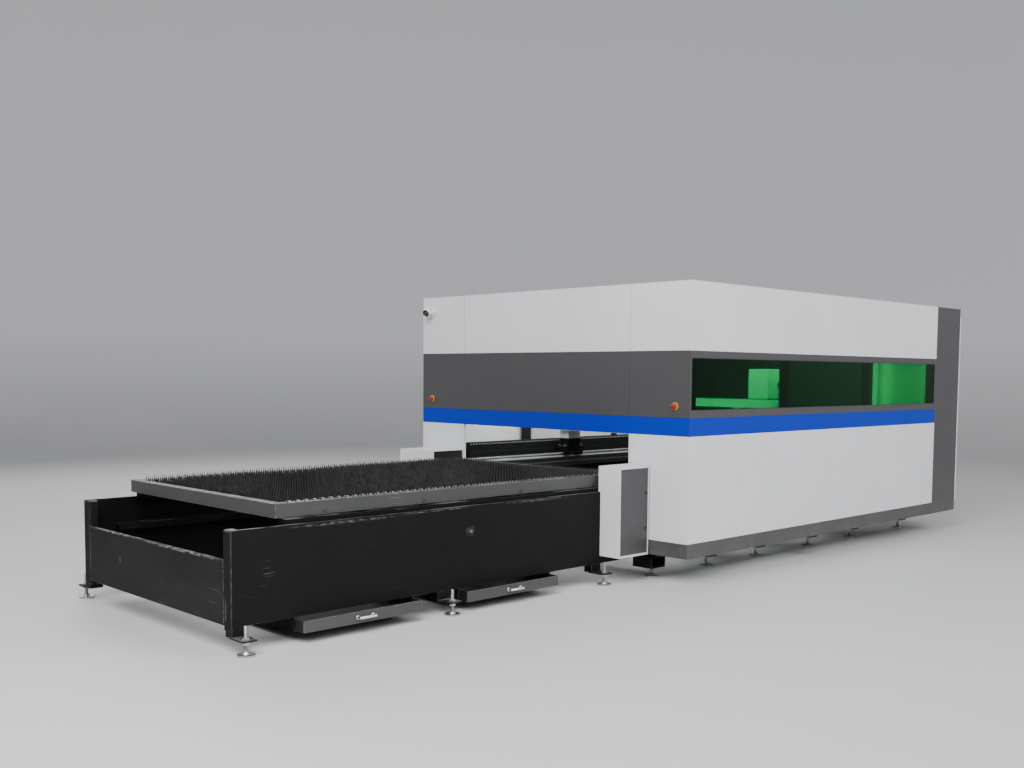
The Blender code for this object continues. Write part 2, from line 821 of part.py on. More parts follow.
def make_exchange_frame():
    """The table's welded frame: side plates, end wall, tracks, cross bars, runners and feet."""
    w = table_half_width
    x0, x1 = table_end, front - gap
    pieces = []
    for sign in (-1, 1):
        ya, yb = sorted((sign * w, sign * (w - side_plate)))
        pieces.append(tool((x0 + 0.001, ya, side_bottom), (x1, yb, side_top)))
        yc, yd = sorted((sign * w, sign * (w - end_post_width)))
        low = (x0, yc, side_bottom - 0.03)
        high = (x0 + end_post_depth, yd, side_top + 0.0005)
        pieces.append(fixed_mesh(block("tool", low, high, None, tools, 0.008, 1)))
        ye, yf = sorted((sign * track_inner, sign * (w - side_plate / 2)))
        upper_start, lower_start = pallet_rest + upper_track_lap, table_end + lower_track_start
        for z, track_x in ((upper_track_top, upper_start), (upper_track_top - level_step, lower_start)):
            ye2 = ye if sign > 0 else -(w - side_plate)
            yf2 = yf if sign < 0 else (w - side_plate)
            pieces.append(tool((track_x, ye2, z - track_height + 0.002), (x1 - 0.001, yf2, z)))
            low_top = min(z, side_top) - 0.012
            pieces.append(tool((track_x + 0.002, ye, z - track_height), (x1 - 0.003, yf, low_top)))
        for x in table_feet:
            px, py = table_end + x, sign * table_foot_line
            inner, outer = sorted((sign * (w - 0.03), py + sign * 0.035))
            la, lb = sorted((sign * (w - 0.001), sign * (w - 0.070)))
            half = foot_plate_length / 2
            lx0, lx1 = max(px - 0.05, x0 + 0.002), px + 0.05
            pieces += foot_pieces(
                px, py,
                (max(px - half, x0), inner, foot_plate_bottom),
                (px + half, outer, foot_plate_bottom + foot_plate_height),
                (lx0, la, foot_plate_bottom + 0.005),
                (lx1, lb, side_bottom + 0.02),
                stud_top,
            )
    pieces.append(tool((x0 + 0.0005, -w + 0.02, side_bottom), (x0 + end_plate, w - 0.02, end_plate_top)))
    for x in table_crosses:
        low = (table_end + x, -w + side_plate / 2, side_bottom + 0.002)
        high = (table_end + x + table_cross_width, w - side_plate / 2, side_bottom + table_cross_height)
        pieces.append(tool(low, high))
    for start, end in tray_spans:
        for edge, way in ((start, 1), (end, -1)):
            wall_x = table_end + edge - way * (gap + runner_wall)
            xa, xb = sorted((wall_x, wall_x + way * runner_wall))
            la, lb = sorted((wall_x, wall_x + way * (runner_wall + runner_lip)))
            z = tray_bottom - gap
            y_a, y_b = -tray_front + 0.02, -tray_front + tray_depth
            pieces.append(tool((xa, -w + 0.002, z - runner_wall), (xb, y_b, side_bottom + 0.03)))
            pieces.append(tool((la, -w + 0.001, z - runner_wall + 0.0005), (lb, y_b - 0.001, z)))
    for edge in [edge for span in tray_spans for edge in span]:
        x, y = table_end + edge, -tray_front + tray_depth - 0.05
        low = (x - 0.03, y - 0.06, tray_top + 0.004)
        pieces.append(tool(low, (x + 0.03, y, side_bottom + 0.03)))
    weld("exchange_frame", pieces, black)


def make_trays():
    """Slag trays that slide out under the near side plate."""
    for n, (start, end) in enumerate(tray_spans, 1):
        x0, x1 = table_end + start, table_end + end
        y0, y1 = -tray_front, -tray_front + tray_depth
        pan = block(f"slag_tray_{n}", (x0, y0, tray_bottom), (x1, y1, tray_top), tray_grey)
        w = tray_wall
        cut(pan, [tool((x0 + w, y0 + w, tray_bottom + w), (x1 - w, y1 - w, tray_top + 0.01))])
        middle = (x0 + x1) / 2
        half = tray_handle_span / 2
        z = (tray_bottom + tray_top) / 2
        r = tray_handle_radius
        out = y0 - tray_handle_reach
        grip = [tool((middle - half, out, z - r), (middle + half, out + 2 * r, z + r))]
        for x in (middle - half + 0.001, middle + half - 2 * r):
            grip.append(tool((x, out + r, z - r + 0.001), (x + 2 * r - 0.001, y0 + 0.001, z + r - 0.001)))
        combine(pan, grip, "UNION")


def make_pallet(name, start, drop, teeth):
    """One pallet: a welded frame on eight flanged wheels, and its grid of toothed slats."""
    w = pallet_half_width
    x0, x1 = start, start + pallet_length
    top, bottom = pallet_top - drop, pallet_bottom - drop
    seat = comb_bottom - gap - drop
    pieces = []
    for sign in (-1, 1):
        section = [
            (sign * w, bottom),
            (sign * w, top),
            (sign * (w - side_member_flange), top),
            (sign * (w - side_member_flange), top - top_flange),
            (sign * (w - side_member_wall), top - top_flange),
            (sign * (w - side_member_wall), bottom),
        ]
        pieces.append(prism("tool", section, "YZ", x0, x1, None, tools))
        for offset in wheel_offsets:
            x, z = x0 + offset, upper_track_top + gap + wheel_radius - drop
            face = sign * (w - side_member_wall - 0.004)
            inward, outward = (0, -sign, 0), (0, sign, 0)
            head = (x, sign * (w - 0.001), z)
            axle = (x, sign * (w - 0.002), z)
            pieces += [
                disc("tool", (x, face, z), inward, wheel_radius, wheel_width, None, tools, 8),
                disc("tool", axle, inward, axle_radius, 0.03, None, tools, 6),
                disc("tool", head, outward, axle_head_radius, axle_head + 0.001, None, tools, 8),
            ]
    for x in (x0, x1 - pallet_end_tube):
        pieces.append(tool((x, -w + 0.0005, bottom), (x + pallet_end_tube, w - 0.0005, top - 0.0005)))
    inner = w - side_member_wall / 2
    for x in spread(pallet_cross_count + 2, x0 + 0.04, x1 - 0.04 - pallet_cross_width)[1:-1]:
        pieces.append(tool((x, -inner, bottom + 0.002), (x + pallet_cross_width, inner, seat)))
    weld(f"{name}_frame", pieces, pallet_grey)

    low, tip, valley = comb_bottom - drop, slat_top - drop, slat_valley - drop
    step = 2 * slat_half / teeth
    outline = [(-slat_half, low), (slat_half, low), (slat_half, valley)]
    for n in range(teeth):
        y = slat_half - n * step
        outline += [(y - step / 2, tip), (y - step, valley)]
    slats = []
    for x in spread(slat_count, x0 + slat_first, x1 - slat_first):
        half = slat_thickness / 2
        slats.append(prism("tool", outline, "YZ", x - half, x + half, None, tools))
    combs = []
    for sign in (-1, 1):
        ya, yb = sorted((sign * (slat_half - comb_thickness / 2), sign * (slat_half + comb_thickness / 2)))
        low_corner = (x0 + slat_first - 0.01, ya, low)
        combs.append(tool(low_corner, (x1 - slat_first + 0.01, yb, comb_top - drop)))
    weld(f"{name}_slats", combs + slats, slat_steel)


def make_side_boxes():
    """The control box and the gas box that stand on either side of the mouth."""
    y_low = table_half_width + gap
    y_high = table_half_width - side_plate + 0.0015
    for name, sign, outer in (("control_box", -1, near_box_outer), ("gas_box", 1, far_box_outer)):
        section = [
            (y_low, box_bottom),
            (outer, box_bottom),
            (outer, box_top),
            (y_high, box_top),
            (y_high, side_top + 2 * gap),
            (y_low, side_top + 2 * gap),
        ]
        x0, x1 = front + box_start, front + box_end
        shell = prism(name, [(sign * y, z) for y, z in section], "YZ", x0, x1, white)
        w = sheet
        m, rim = box_door_margin, box_door_rim
        face = outer - box_door_recess
        back = face - box_door_thickness - gap
        ya, yb = sorted((sign * (y_low + w), sign * back))
        cavity = tool((x0 + w, ya, box_bottom + w), (x1 - w, yb, box_top - w))
        ya, yb = sorted((sign * (back - 0.001), sign * (outer + 0.01)))
        mouth_low = (x0 + w, ya, box_bottom + rim - side_door_gap / 2)
        mouth_high = (x1 - m + side_door_gap / 2, yb, box_top - rim + side_door_gap / 2)
        cut(shell, [cavity, tool(mouth_low, mouth_high)])
        yc, yd = sorted((sign * face, sign * (face - box_door_thickness)))
        low, high = (x0 + sheet + hinge_gap, yc, box_bottom + rim), (x1 - m, yd, box_top - rim)
        block(f"{name}_door", low, high, grey)


def make_rear_cabinet():
    """The electrical cabinet across the back, with a pair of doors."""
    x0 = front + enclosure_length + gap
    x1 = total_length / 2 - cabinet_handle_reach - door_thickness
    y = side - cabinet_inset
    body = block("rear_cabinet", (x0, -y, cabinet_bottom), (x1, y, cabinet_top), white)
    half = cabinet_door_width
    t = cabinet_wall
    cavity = tool((x0 + t, -half + t, cabinet_door_bottom + t), (x1 + 0.01, half - t, cabinet_door_top - t))
    cut(body, [cavity])
    back = x0 + t
    low = (back - 0.001, -half + 3 * t, cabinet_door_bottom + 4 * t)
    high = (back + device_plate, half - 3 * t, cabinet_door_top - 4 * t)
    devices = [tool(low, high)]
    for bottom, top, depth, share in device_rows:
        reach = -device_half + 2 * device_half * share
        devices.append(tool((back + 0.005, -device_half, bottom), (back + depth, reach, top)))
    combine(body, devices, "UNION")
    g = side_door_gap / 2
    for name, sign in (("cabinet_door_near", -1), ("cabinet_door_far", 1)):
        ya, yb = sorted((sign * g, sign * half))
        low, high = (x1 + gap, ya, cabinet_door_bottom), (x1 + gap + door_thickness, yb, cabinet_door_top)
        door = fixed_mesh(block(name, low, high, white, None, 0.003))
        yc, yd = sorted((sign * cabinet_handle_line, sign * (cabinet_handle_line + cabinet_handle_width)))
        handle_low = (x1 + gap + door_thickness - 0.001, yc, cabinet_handle_span[0])
        combine(door, [tool(handle_low, (total_length / 2, yd, cabinet_handle_span[1]))], "UNION")


def make_side_doors():
    """A pair of hinged doors between the far-side posts, with panes and pull handles."""
    middle = (door_start + door_end) / 2
    g = side_door_gap
    y1 = leaf_face
    y0 = y1 - panel_depth
    for name, xa, xb, pull in (
        ("side_door_front", door_start + hinge_gap, middle - g / 2, middle - handle_spacing / 2),
        ("side_door_rear", middle + g / 2, door_end - hinge_gap, middle + handle_spacing / 2),
    ):
        outline = [(front + xa, y0), (front + xb, y0), (front + xb, y1), (front + xa, y1)]
        leaf = folded_panel(name, outline, (0,), plinth_top + g, window_band_top - g, white)
        fixed_mesh(leaf)
        rim = side_door_rim
        hole = tool((front + xa + rim, y1 - 0.01, window_bottom), (front + xb - rim, y1 + 0.01, window_top))
        cut(leaf, [hole])
        back = y1 - sheet - gap
        low = (front + xa + rim - pane_lap, back - pane_thickness, window_bottom - pane_lap)
        high = (front + xb - rim + pane_lap, back, window_top + pane_lap)
        block(f"{name}_pane", low, high, glass)

        x = front + pull
        t = handle_thickness
        z0 = handle_bottom
        reach = y1 + handle_reach
        grip = [tool((x - t / 2, reach - t, z0), (x + t / 2, reach, z0 + handle_length))]
        for z in (z0 + 0.001, z0 + handle_length - t - 0.001):
            grip.append(tool((x - t / 2 + 0.001, y1 + gap, z), (x + t / 2 - 0.001, reach - 0.001, z + t)))
        weld(f"{name}_handle", grip, steel)


def make_emergency_stops():
    """Two mushroom stops on the front, each with a collar and a sprung button."""
    for name, sign in (("near", -1), ("far", 1)):
        y = sign * stop_line
        out = (-1, 0, 0)
        start = (front - gap, y, stop_height)
        collar = disc(f"stop_collar_{name}", start, out, stop_base_radius, stop_base_height, yellow, None, 16)
        hole = disc("tool", (front + 0.02, y, stop_height), out, stop_hole_radius, 0.06, None, tools, 12)
        cut(collar, [hole])
        neck_start = front + stop_neck_depth
        reach = stop_neck_depth + stop_base_height + stop_travel + 0.002
        neck = disc("tool", (neck_start, y, stop_height), out, stop_neck_radius, reach, None, tools, 12)
        start = (neck_start - reach + 0.001, y, stop_height)
        tip = stop_cap_radius * 0.8
        cap = disc("tool", start, out, stop_cap_radius, 0.014, None, tools, 16, tip)
        weld(f"stop_button_{name}", [neck, cap], red)


def make_camera():
    """The small turret camera high on the front's far corner."""
    y = camera_line
    start = (front - gap, y, camera_height)
    tip = camera_base_radius * 0.85
    disc("camera_base", start, (-1, 0, 0), camera_base_radius, camera_base_height, white, None, 20, tip)
    bm = bmesh.new()
    bmesh.ops.create_uvsphere(bm, u_segments=12, v_segments=8, radius=camera_ball_radius)
    centre = Vector((front - gap - camera_base_height - camera_ball_radius * 0.72, y, camera_height))
    bmesh.ops.translate(bm, verts=bm.verts, vec=centre)
    ball = put("camera_head", bm, white)
    flat = front - gap - camera_base_height - gap
    cut(ball, [tool((flat, y - 0.1, camera_height - 0.1), (flat + 0.1, y + 0.1, camera_height + 0.1))])


for existing in list(bpy.data.objects):
    bpy.data.objects.remove(existing)

machine = new_collection("fiber_laser_cutting_machine")
tools = new_collection("tools")

white = material("white powder coat", (0.62, 0.63, 0.64), 0.35)
grey = material("dark grey powder coat", (0.085, 0.085, 0.09), 0.45)
blue = material("blue powder coat", (0.004, 0.07, 0.52), 0.35)
black = material("black table paint", (0.018, 0.018, 0.019), 0.55)
dark = material("dark machine paint", (0.05, 0.05, 0.055), 0.5)
pallet_grey = material("grey pallet paint", (0.11, 0.11, 0.11), 0.5)
tray_grey = material("grey tray paint", (0.14, 0.14, 0.14), 0.5)
slat_steel = material("rolled slat steel", (0.06, 0.055, 0.05), 0.45, 0.7)
steel = material("ground steel", (0.55, 0.56, 0.57), 0.25, 1.0)
rubber = material("black chain plastic", (0.02, 0.02, 0.02), 0.6)
glass = material("green laser glass", (0.02, 0.16, 0.07), 0.08, 0.0, 0.55)
red = material("red button", (0.55, 0.02, 0.015), 0.35)
yellow = material("yellow collar", (0.75, 0.5, 0.02), 0.4)

make_enclosure_panels()
make_panes()
make_plinth()
make_end_band_and_roof()
make_enclosure_frame()
make_bed()
make_rails()
make_gantry()
make_cutting_head()
make_drag_chain()
make_exchange_frame()
make_trays()
make_pallet("pallet_upper", pallet_rest, 0.0, slat_teeth)
make_pallet("pallet_lower", lower_rest, level_step, hidden_slat_teeth)
make_side_boxes()
make_rear_cabinet()
make_side_doors()
make_emergency_stops()
make_camera()
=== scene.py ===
# %% [markdown]
# # Dressing a fibre laser cutting machine
# The machine is already there as plain solids: a cabin of painted sheet metal, a gantry inside it,
# and a low table in front on which two toothed pallets change places. The cells below give those solids
# their finishes and build what a modeller adds last: teeth, threads, screws, wheels, seals and lamps.
# Everything is in metres. +X runs from the table into the cabin, -Y is the near side, +Z is up.

# %% Load the machine
import bpy
import bmesh
import json
import math
from mathutils import Matrix, Vector


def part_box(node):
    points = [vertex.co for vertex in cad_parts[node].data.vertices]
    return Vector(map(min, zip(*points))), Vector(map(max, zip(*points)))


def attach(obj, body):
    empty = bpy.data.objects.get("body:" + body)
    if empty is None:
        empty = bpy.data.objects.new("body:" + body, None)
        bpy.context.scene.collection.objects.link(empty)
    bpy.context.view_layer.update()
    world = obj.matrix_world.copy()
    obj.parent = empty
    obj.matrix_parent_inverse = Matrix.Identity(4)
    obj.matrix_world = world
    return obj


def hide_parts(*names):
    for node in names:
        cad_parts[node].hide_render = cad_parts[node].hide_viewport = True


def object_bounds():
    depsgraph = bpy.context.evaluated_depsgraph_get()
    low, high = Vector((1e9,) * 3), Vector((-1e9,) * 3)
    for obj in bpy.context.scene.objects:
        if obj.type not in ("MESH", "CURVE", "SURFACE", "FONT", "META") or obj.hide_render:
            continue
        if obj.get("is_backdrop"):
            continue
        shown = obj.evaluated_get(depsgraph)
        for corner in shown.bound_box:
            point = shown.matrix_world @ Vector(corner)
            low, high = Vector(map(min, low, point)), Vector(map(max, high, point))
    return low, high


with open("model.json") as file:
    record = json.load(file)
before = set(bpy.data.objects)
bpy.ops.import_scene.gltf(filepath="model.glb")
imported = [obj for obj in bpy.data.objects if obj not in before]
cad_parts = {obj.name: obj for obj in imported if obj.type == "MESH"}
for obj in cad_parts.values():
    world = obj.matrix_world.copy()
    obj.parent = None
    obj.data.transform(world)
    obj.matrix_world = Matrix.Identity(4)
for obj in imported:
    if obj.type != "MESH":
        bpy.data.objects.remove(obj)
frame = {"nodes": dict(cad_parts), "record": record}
cad_low, cad_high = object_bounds()
print("machine", [round(v, 3) for v in cad_high - cad_low])

# %% Places on the machine
front = -0.698
table_end = -4.041
gantry_x = 0.738
both_sides = (("near", -1), ("far", 1))

# %% [markdown]
# ## Camera
# The picture was taken from standing height, about three metres in front of the table's corner. The
# position, direction and lens were solved from the machine's straight edges. A camera looks along its own
# -Z, so its three columns are the picture's right, the picture's up and the direction backwards. The
# horizon of the picture isn't in its middle, and a small vertical lens shift keeps the uprights right.

# %% Camera
yaw, pitch, roll = 0.79885, 0.06851, -0.00744
eye = (-6.9583, -6.1061, 1.5216)
focal_pixels, picture_width = 1077, 1024
ahead = Vector((math.cos(yaw) * math.cos(pitch), math.sin(yaw) * math.cos(pitch), -math.sin(pitch)))
right = Vector((math.sin(yaw), -math.cos(yaw), 0.0))
down = ahead.cross(right)
turned_right = math.cos(roll) * right + math.sin(roll) * down
turned_down = math.cos(roll) * down - math.sin(roll) * right
lens = bpy.data.cameras.new("Camera")
lens.sensor_width = 36.0
lens.lens = lens.sensor_width * focal_pixels / picture_width
lens.shift_y = 0.0628
camera = bpy.data.objects.new("Camera", lens)
bpy.context.scene.collection.objects.link(camera)
axes = Matrix((turned_right, -turned_down, -ahead)).transposed()
camera.matrix_world = Matrix.Translation(eye) @ axes.to_4x4()
bpy.context.scene.camera = camera
print("lens", round(lens.lens, 2), "mm")

# %% [markdown]
# ## Sums on sockets
# A finish is a chain of nodes, and most of them are small sums: a mask times a strength, one minus a mask.
# Written as nodes they fill pages. Here one small class stands for an output socket and answers to +, -, *
# and / by adding a Math node, so the recipe of a finish reads like the sum that it is.

# %% A socket that can be added and multiplied
class Socket:
    def __init__(self, graph, socket):
        self.graph = graph
        self.socket = socket

    def math(self, operation, a, b, clamp=False):
        settings = {"operation": operation, "use_clamp": clamp}
        return self.graph.add("ShaderNodeMath", settings, {0: a, 1: b})

    def __add__(self, other):
        return self.math("ADD", self, other)

    def __sub__(self, other):
        return self.math("SUBTRACT", self, other)

    def __rsub__(self, other):
        return self.math("SUBTRACT", other, self)

    def __mul__(self, other):
        return self.math("MULTIPLY", self, other)

    def __truediv__(self, other):
        return self.math("DIVIDE", self, other)

    __radd__ = __add__
    __rmul__ = __mul__

    def clamped(self):
        return self.math("ADD", self, 0.0, clamp=True)

    def over(self, low, high):
        """0 below low, 1 above high, and a straight ramp between them."""
        sockets = {"Value": self, "From Min": low, "From Max": high}
        return self.graph.add("ShaderNodeMapRange", {"clamp": True}, sockets)


# %% A node tree that is written in Python
class Graph:
    def __init__(self, tree):
        self.tree = tree

    def add(self, kind, settings=None, sockets=None, out=0):
        """Add one node: its settings first, then the values or links of its sockets."""
        made = self.tree.nodes.new(kind)
        for key, value in (settings or {}).items():
            setattr(made, key, value)
        for key, value in (sockets or {}).items():
            if isinstance(value, tuple) and any(isinstance(part, Socket) for part in value):
                value = self.add("ShaderNodeCombineXYZ", {}, dict(enumerate(value)))
            if isinstance(value, Socket):
                self.tree.links.new(value.socket, made.inputs[key])
            else:
                made.inputs[key].default_value = value
        return Socket(self, made.outputs[out])

    def place(self, scale=(1.0, 1.0, 1.0)):
        """Object coordinates, stretched along each axis."""
        where = self.add("ShaderNodeTexCoord", out="Object")
        if scale == (1.0, 1.0, 1.0):
            return where
        return self.add("ShaderNodeVectorMath", {"operation": "MULTIPLY"}, {0: where, 1: scale})

    def axis(self, letter):
        """One coordinate of the place, in metres."""
        return self.add("ShaderNodeSeparateXYZ", {}, {0: self.place()}, letter)

    def noise(self, scale, detail=3.0, stretch=(1.0, 1.0, 1.0), rough=0.55):
        sockets = {"Vector": self.place(stretch), "Scale": scale, "Detail": detail, "Roughness": rough}
        return self.add("ShaderNodeTexNoise", {}, sockets)

    def mix(self, factor, a, b):
        """Blend two colours, each a socket or three numbers."""
        a, b = ((*color, 1.0) if isinstance(color, tuple) else color for color in (a, b))
        return self.add("ShaderNodeMix", {"data_type": "RGBA"}, {0: factor, 6: a, 7: b}, 2)

    def facing_up(self):
        """How far a surface faces up: 1 on a table top, 0 on a wall."""
        normal = self.add("ShaderNodeNewGeometry", out="Normal")
        return self.add("ShaderNodeSeparateXYZ", {}, {0: normal}, "Z").over(0.55, 0.95)

    def rounded(self, radius):
        """A normal that rounds off every corner by this radius."""
        return self.add("ShaderNodeBevel", {"samples": 4}, {"Radius": radius})

    def corners(self, radius):
        """1 along sharp corners, found by comparing the rounded normal with the flat one."""
        flat = self.add("ShaderNodeNewGeometry", out="Normal")
        both = {0: self.rounded(radius), 1: flat}
        alike = self.add("ShaderNodeVectorMath", {"operation": "DOT_PRODUCT"}, both, "Value")
        return (1.0 - alike).over(0.04, 0.30)

    def relief(self, height, strength, distance, normal=None):
        """Bump from a height, on top of another normal."""
        sockets = {"Height": height, "Strength": strength, "Distance": distance}
        if normal:
            sockets["Normal"] = normal
        return self.add("ShaderNodeBump", {}, sockets)


# %% A finish with one Principled shader
def finish(name, recipe, **plain):
    """Make a material. recipe(graph) gives what varies, by socket name, and plain gives the rest."""
    made = bpy.data.materials.new(name)
    made.use_nodes = True
    shader = made.node_tree.nodes["Principled BSDF"]
    graph = Graph(made.node_tree)
    for key, value in plain.items():
        shader.inputs[key.replace("_", " ")].default_value = value
    for key, value in recipe(graph).items():
        if isinstance(value, Socket):
            made.node_tree.links.new(value.socket, shader.inputs[key])
        else:
            shader.inputs[key].default_value = value
    return made


# %% [markdown]
# ## Powder coat
# Powder coat is paint that is baked on as dust: it ends up thick, slightly dimpled like orange peel, and
# softly rounded at the corners. The cabin wears it in white, dark grey and blue. Broad clouds of noise keep
# the large faces from looking like plastic, dust settles where a face looks up, and the lowest part of the
# skirt is dulled by what the broom throws at it. The corner rounding is only in the normal.

# %% Powder coat
dust_color = (0.45, 0.43, 0.40)


def powder_coat(name, color, roughness, corner=0.0025, dirt=0.5, coat=0.0, shine=0.5):
    shade = tuple(c * 0.90 for c in color)
    dusty = tuple(0.55 * c + 0.45 * d for c, d in zip(color, dust_color))

    def recipe(g):
        clouds = g.noise(1.4, 4.0).over(0.35, 0.70)
        base = g.mix(clouds * 0.6, color, shade)
        low = 1.0 - g.axis("Z").over(0.18, 0.55)
        settled = g.facing_up() * 0.35 + low * g.noise(9.0, 5.0).over(0.40, 0.75) * 0.35
        base = g.mix((settled * dirt).clamped(), base, dusty)
        wiped = g.noise(2.6, 5.0, (0.5, 0.5, 2.2)).over(0.3, 0.8)
        peel = g.noise(240.0, 2.0)
        return {
            "Base Color": base,
            "Roughness": (wiped * 0.12 + settled * 0.25 + (roughness - 0.05)).clamped(),
            "Normal": g.relief(peel, 0.25, 0.0006, g.rounded(corner)),
        }

    return finish(name, recipe, Coat_Weight=coat, Coat_Roughness=0.12, Specular_IOR_Level=shine)


white = powder_coat("white powder coat", (0.74, 0.75, 0.77), 0.36, coat=0.10)
grey = powder_coat("dark grey powder coat", (0.062, 0.061, 0.064), 0.42)
blue = powder_coat("blue powder coat", (0.000, 0.026, 0.43), 0.42, dirt=0.10, shine=0.25)
machine_grey = powder_coat("dark machine paint", (0.016, 0.016, 0.018), 0.50, 0.002, dirt=0.12, shine=0.3)
print("powder coats", white.name, grey.name, blue.name, machine_grey.name)

# %% [markdown]
# ## Worn paint
# The table and the pallets live under sheets of steel. Their black and grey paint is thin and brushed on:
# it is matt, streaky along the plate, rubbed through to bright steel on every upper corner, and scratched
# where a sheet has been dragged over it. The corners come from the rounding trick, broken up by noise so
# that the wear comes in flakes, and the scratches are noise stretched until it is a thin line. The larger
# rubbed places are ovals whose middle, size, tilt and strength are listed.

# %% Masks for worn paint
def smudge(g, place, size, tilt):
    """1 in the middle of a flat oval round a place, and 0 from its edge outward."""
    x, y, z = (g.axis(letter) - middle for letter, middle in zip("XYZ", place))
    across, deep, up = x / size[0], y / size[1], (z - x * tilt) / size[2]
    return 1.0 - (across * across + up * up + deep * deep).over(0.1, 1.0)


def within(g, half, faded_half):
    """1 up to half a width on each side of the machine's middle plane."""
    y = g.axis("Y")
    return 1.0 - (y * y).over(half ** 2, faded_half ** 2)


def shade_inside_table(g):
    """1 on all that lies between the table's side plates and behind its end wall, where shade is painted in.
    """
    return within(g, 0.936, 0.938) * g.axis("X").over(-3.975, -3.965)


def painted_light_end_wall(g):
    """The outer face of the table's end wall, in cloudy patches, where light is painted in."""
    face = (1.0 - g.axis("X").over(-4.040, -4.036)) * within(g, 0.860, 0.864)
    return face * (g.noise(2.4, 5.0).over(0.30, 0.70) * 0.5 + 0.5)


def shade_and_slag_in_tray(g):
    """1 behind the near end of a slag tray, where the shade under the table plate and slag dust are painted
    in.
    """
    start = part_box("slag_tray_1")[0].y + 0.040
    return g.axis("Y").over(start, start + 0.002)


# %% Worn paint
# The first black is painted shade, the second is painted light on the end wall's face, and the third darkens
# faces that look up.
painted_shade_black = (0.0025, 0.0025, 0.0028)
painted_light_black = (0.0170, 0.0170, 0.0175)
dark_top_black = (0.012, 0.012, 0.012)


def worn_paint(name, color, bare, roughness, scratches=0.5, top_wear=0.0, shine=0.5, marks=(), painted_shade=None,
               painted_light=None, dark_tops=0.0):
    """The first mask gives where shade is painted in as near black, and the second where light is painted in
    as a paler black.
    """
    lighter = tuple(min(1.0, c * 1.6 + 0.003) for c in color)

    def recipe(g):
        inside = painted_shade(g) if painted_shade else None
        streaks = g.noise(3.0, 6.0, (0.35, 0.35, 1.6)).over(0.30, 0.75)
        patches = g.noise(1.1, 3.0).over(0.40, 0.65)
        base = g.mix(streaks * 0.45 + patches * 0.25, color, lighter)
        flakes = g.noise(34.0, 6.0, (0.6, 0.6, 1.0), 0.65)
        edge = g.corners(0.004) * flakes.over(0.38, 0.56)
        # Where shade is painted in, most of the bright wear on the corners is left out.
        if inside:
            edge = edge * (1.0 - inside * 0.85)
        rub = g.facing_up() * g.noise(7.0, 5.0, (0.5, 1.0, 1.0)).over(0.50, 0.62) * top_wear
        line = g.noise(1.0, 2.0, (3.0, 3.0, 260.0)).over(0.695, 0.72) * g.noise(2.2, 2.0).over(0.56, 0.66)
        rubbed = edge + rub + line * scratches
        for place, size, tilt, strength in marks:
            broken = g.noise(70.0, 5.0, (0.35, 0.35, 1.0)).over(0.42, 0.60)
            rubbed = rubbed + smudge(g, place, size, tilt) * broken * strength
        rubbed = rubbed.clamped()
        grain = g.noise(160.0, 3.0)
        # Faces that look up are darkened towards black by the given amount.
        base = g.mix(g.facing_up() * dark_tops, base, dark_top_black)
        # Painted shade: near black where the first mask gives 1.
        if inside:
            base = g.mix(inside, base, painted_shade_black)
        # Painted light: a paler black where the second mask gives 1.
        if painted_light:
            base = g.mix(painted_light(g), base, painted_light_black)
        return {
            "Base Color": g.mix(rubbed, base, bare),
            "Metallic": rubbed * 0.8,
            "Roughness": (streaks * 0.18 + (roughness - 0.06) - rubbed * 0.15).clamped(),
            "Normal": g.relief(grain - rubbed * 0.8, 0.30, 0.0008, g.rounded(0.002)),
        }

    return finish(name, recipe, Specular_IOR_Level=shine)


table_marks = (
    ((-3.811, -0.953, 0.415), (0.052, 0.010, 0.0016), 0.08, 0.90),
    ((-3.785, -0.953, 0.446), (0.070, 0.010, 0.0016), 0.02, 0.40),
    ((-2.307, -0.953, 0.499), (0.014, 0.010, 0.0120), 0.00, 0.9),
    ((-2.307, -0.953, 0.510), (0.050, 0.010, 0.0400), 0.00, 0.15),
    ((-4.041, -0.888, 0.225), (0.010, 0.008, 0.0800), 0.00, 0.45),
    ((-4.041, 0.419, 0.338), (0.010, 0.016, 0.0300), 0.00, 0.35),
    ((-3.300, -0.953, 0.655), (0.420, 0.010, 0.0100), 0.00, 0.30),
    ((-2.600, -0.953, 0.663), (0.300, 0.010, 0.0060), 0.00, 0.40),
    ((-1.700, -0.953, 0.660), (0.350, 0.010, 0.0080), 0.00, 0.25),
    ((-4.041, -0.350, 0.500), (0.016, 0.520, 0.0110), 0.00, 1.00),
    ((-4.041, 0.500, 0.503), (0.016, 0.380, 0.0080), 0.00, 1.00),
)
table_black = worn_paint("black table paint", (0.0045, 0.0045, 0.0050), (0.36, 0.355, 0.35), 0.58,
                         top_wear=0.5, shine=0.14, marks=table_marks, painted_shade=shade_inside_table, painted_light=painted_light_end_wall)
pallet_grey = worn_paint("grey pallet paint", (0.040, 0.042, 0.044), (0.80, 0.79, 0.76), 0.48,
                         top_wear=0.15, dark_tops=0.85)
tray_grey = worn_paint("grey tray paint", (0.046, 0.047, 0.049), (0.45, 0.44, 0.43), 0.50,
                       scratches=0.3, painted_shade=shade_and_slag_in_tray)
print("worn paints", table_black.name, pallet_grey.name, tray_grey.name)

# %% [markdown]
# ## Bare metals
# Three bare metals show. The guide rails and the head are ground steel, with fine lines along them. The
# slats are hot-rolled strip that the laser has cut and burnt: brown-black, a little rusty, paler at their
# tips. Studs, nuts and screws are zinc-plated, and zinc is mottled and slightly blue.

# %% Bare metals
def ground(name, color, roughness, stretch=(0.05, 1.0, 1.0)):
    tone = tuple(c * 0.82 for c in color)

    def recipe(g):
        lines = g.noise(420.0, 3.0, stretch)
        return {
            "Base Color": g.mix(g.noise(6.0, 3.0).over(0.35, 0.75) * 0.6, color, tone),
            "Roughness": (lines * 0.12 + (roughness - 0.05)).clamped(),
            "Normal": g.relief(lines, 0.12, 0.0003, g.rounded(0.001)),
        }

    return finish(name, recipe, Metallic=1.0)


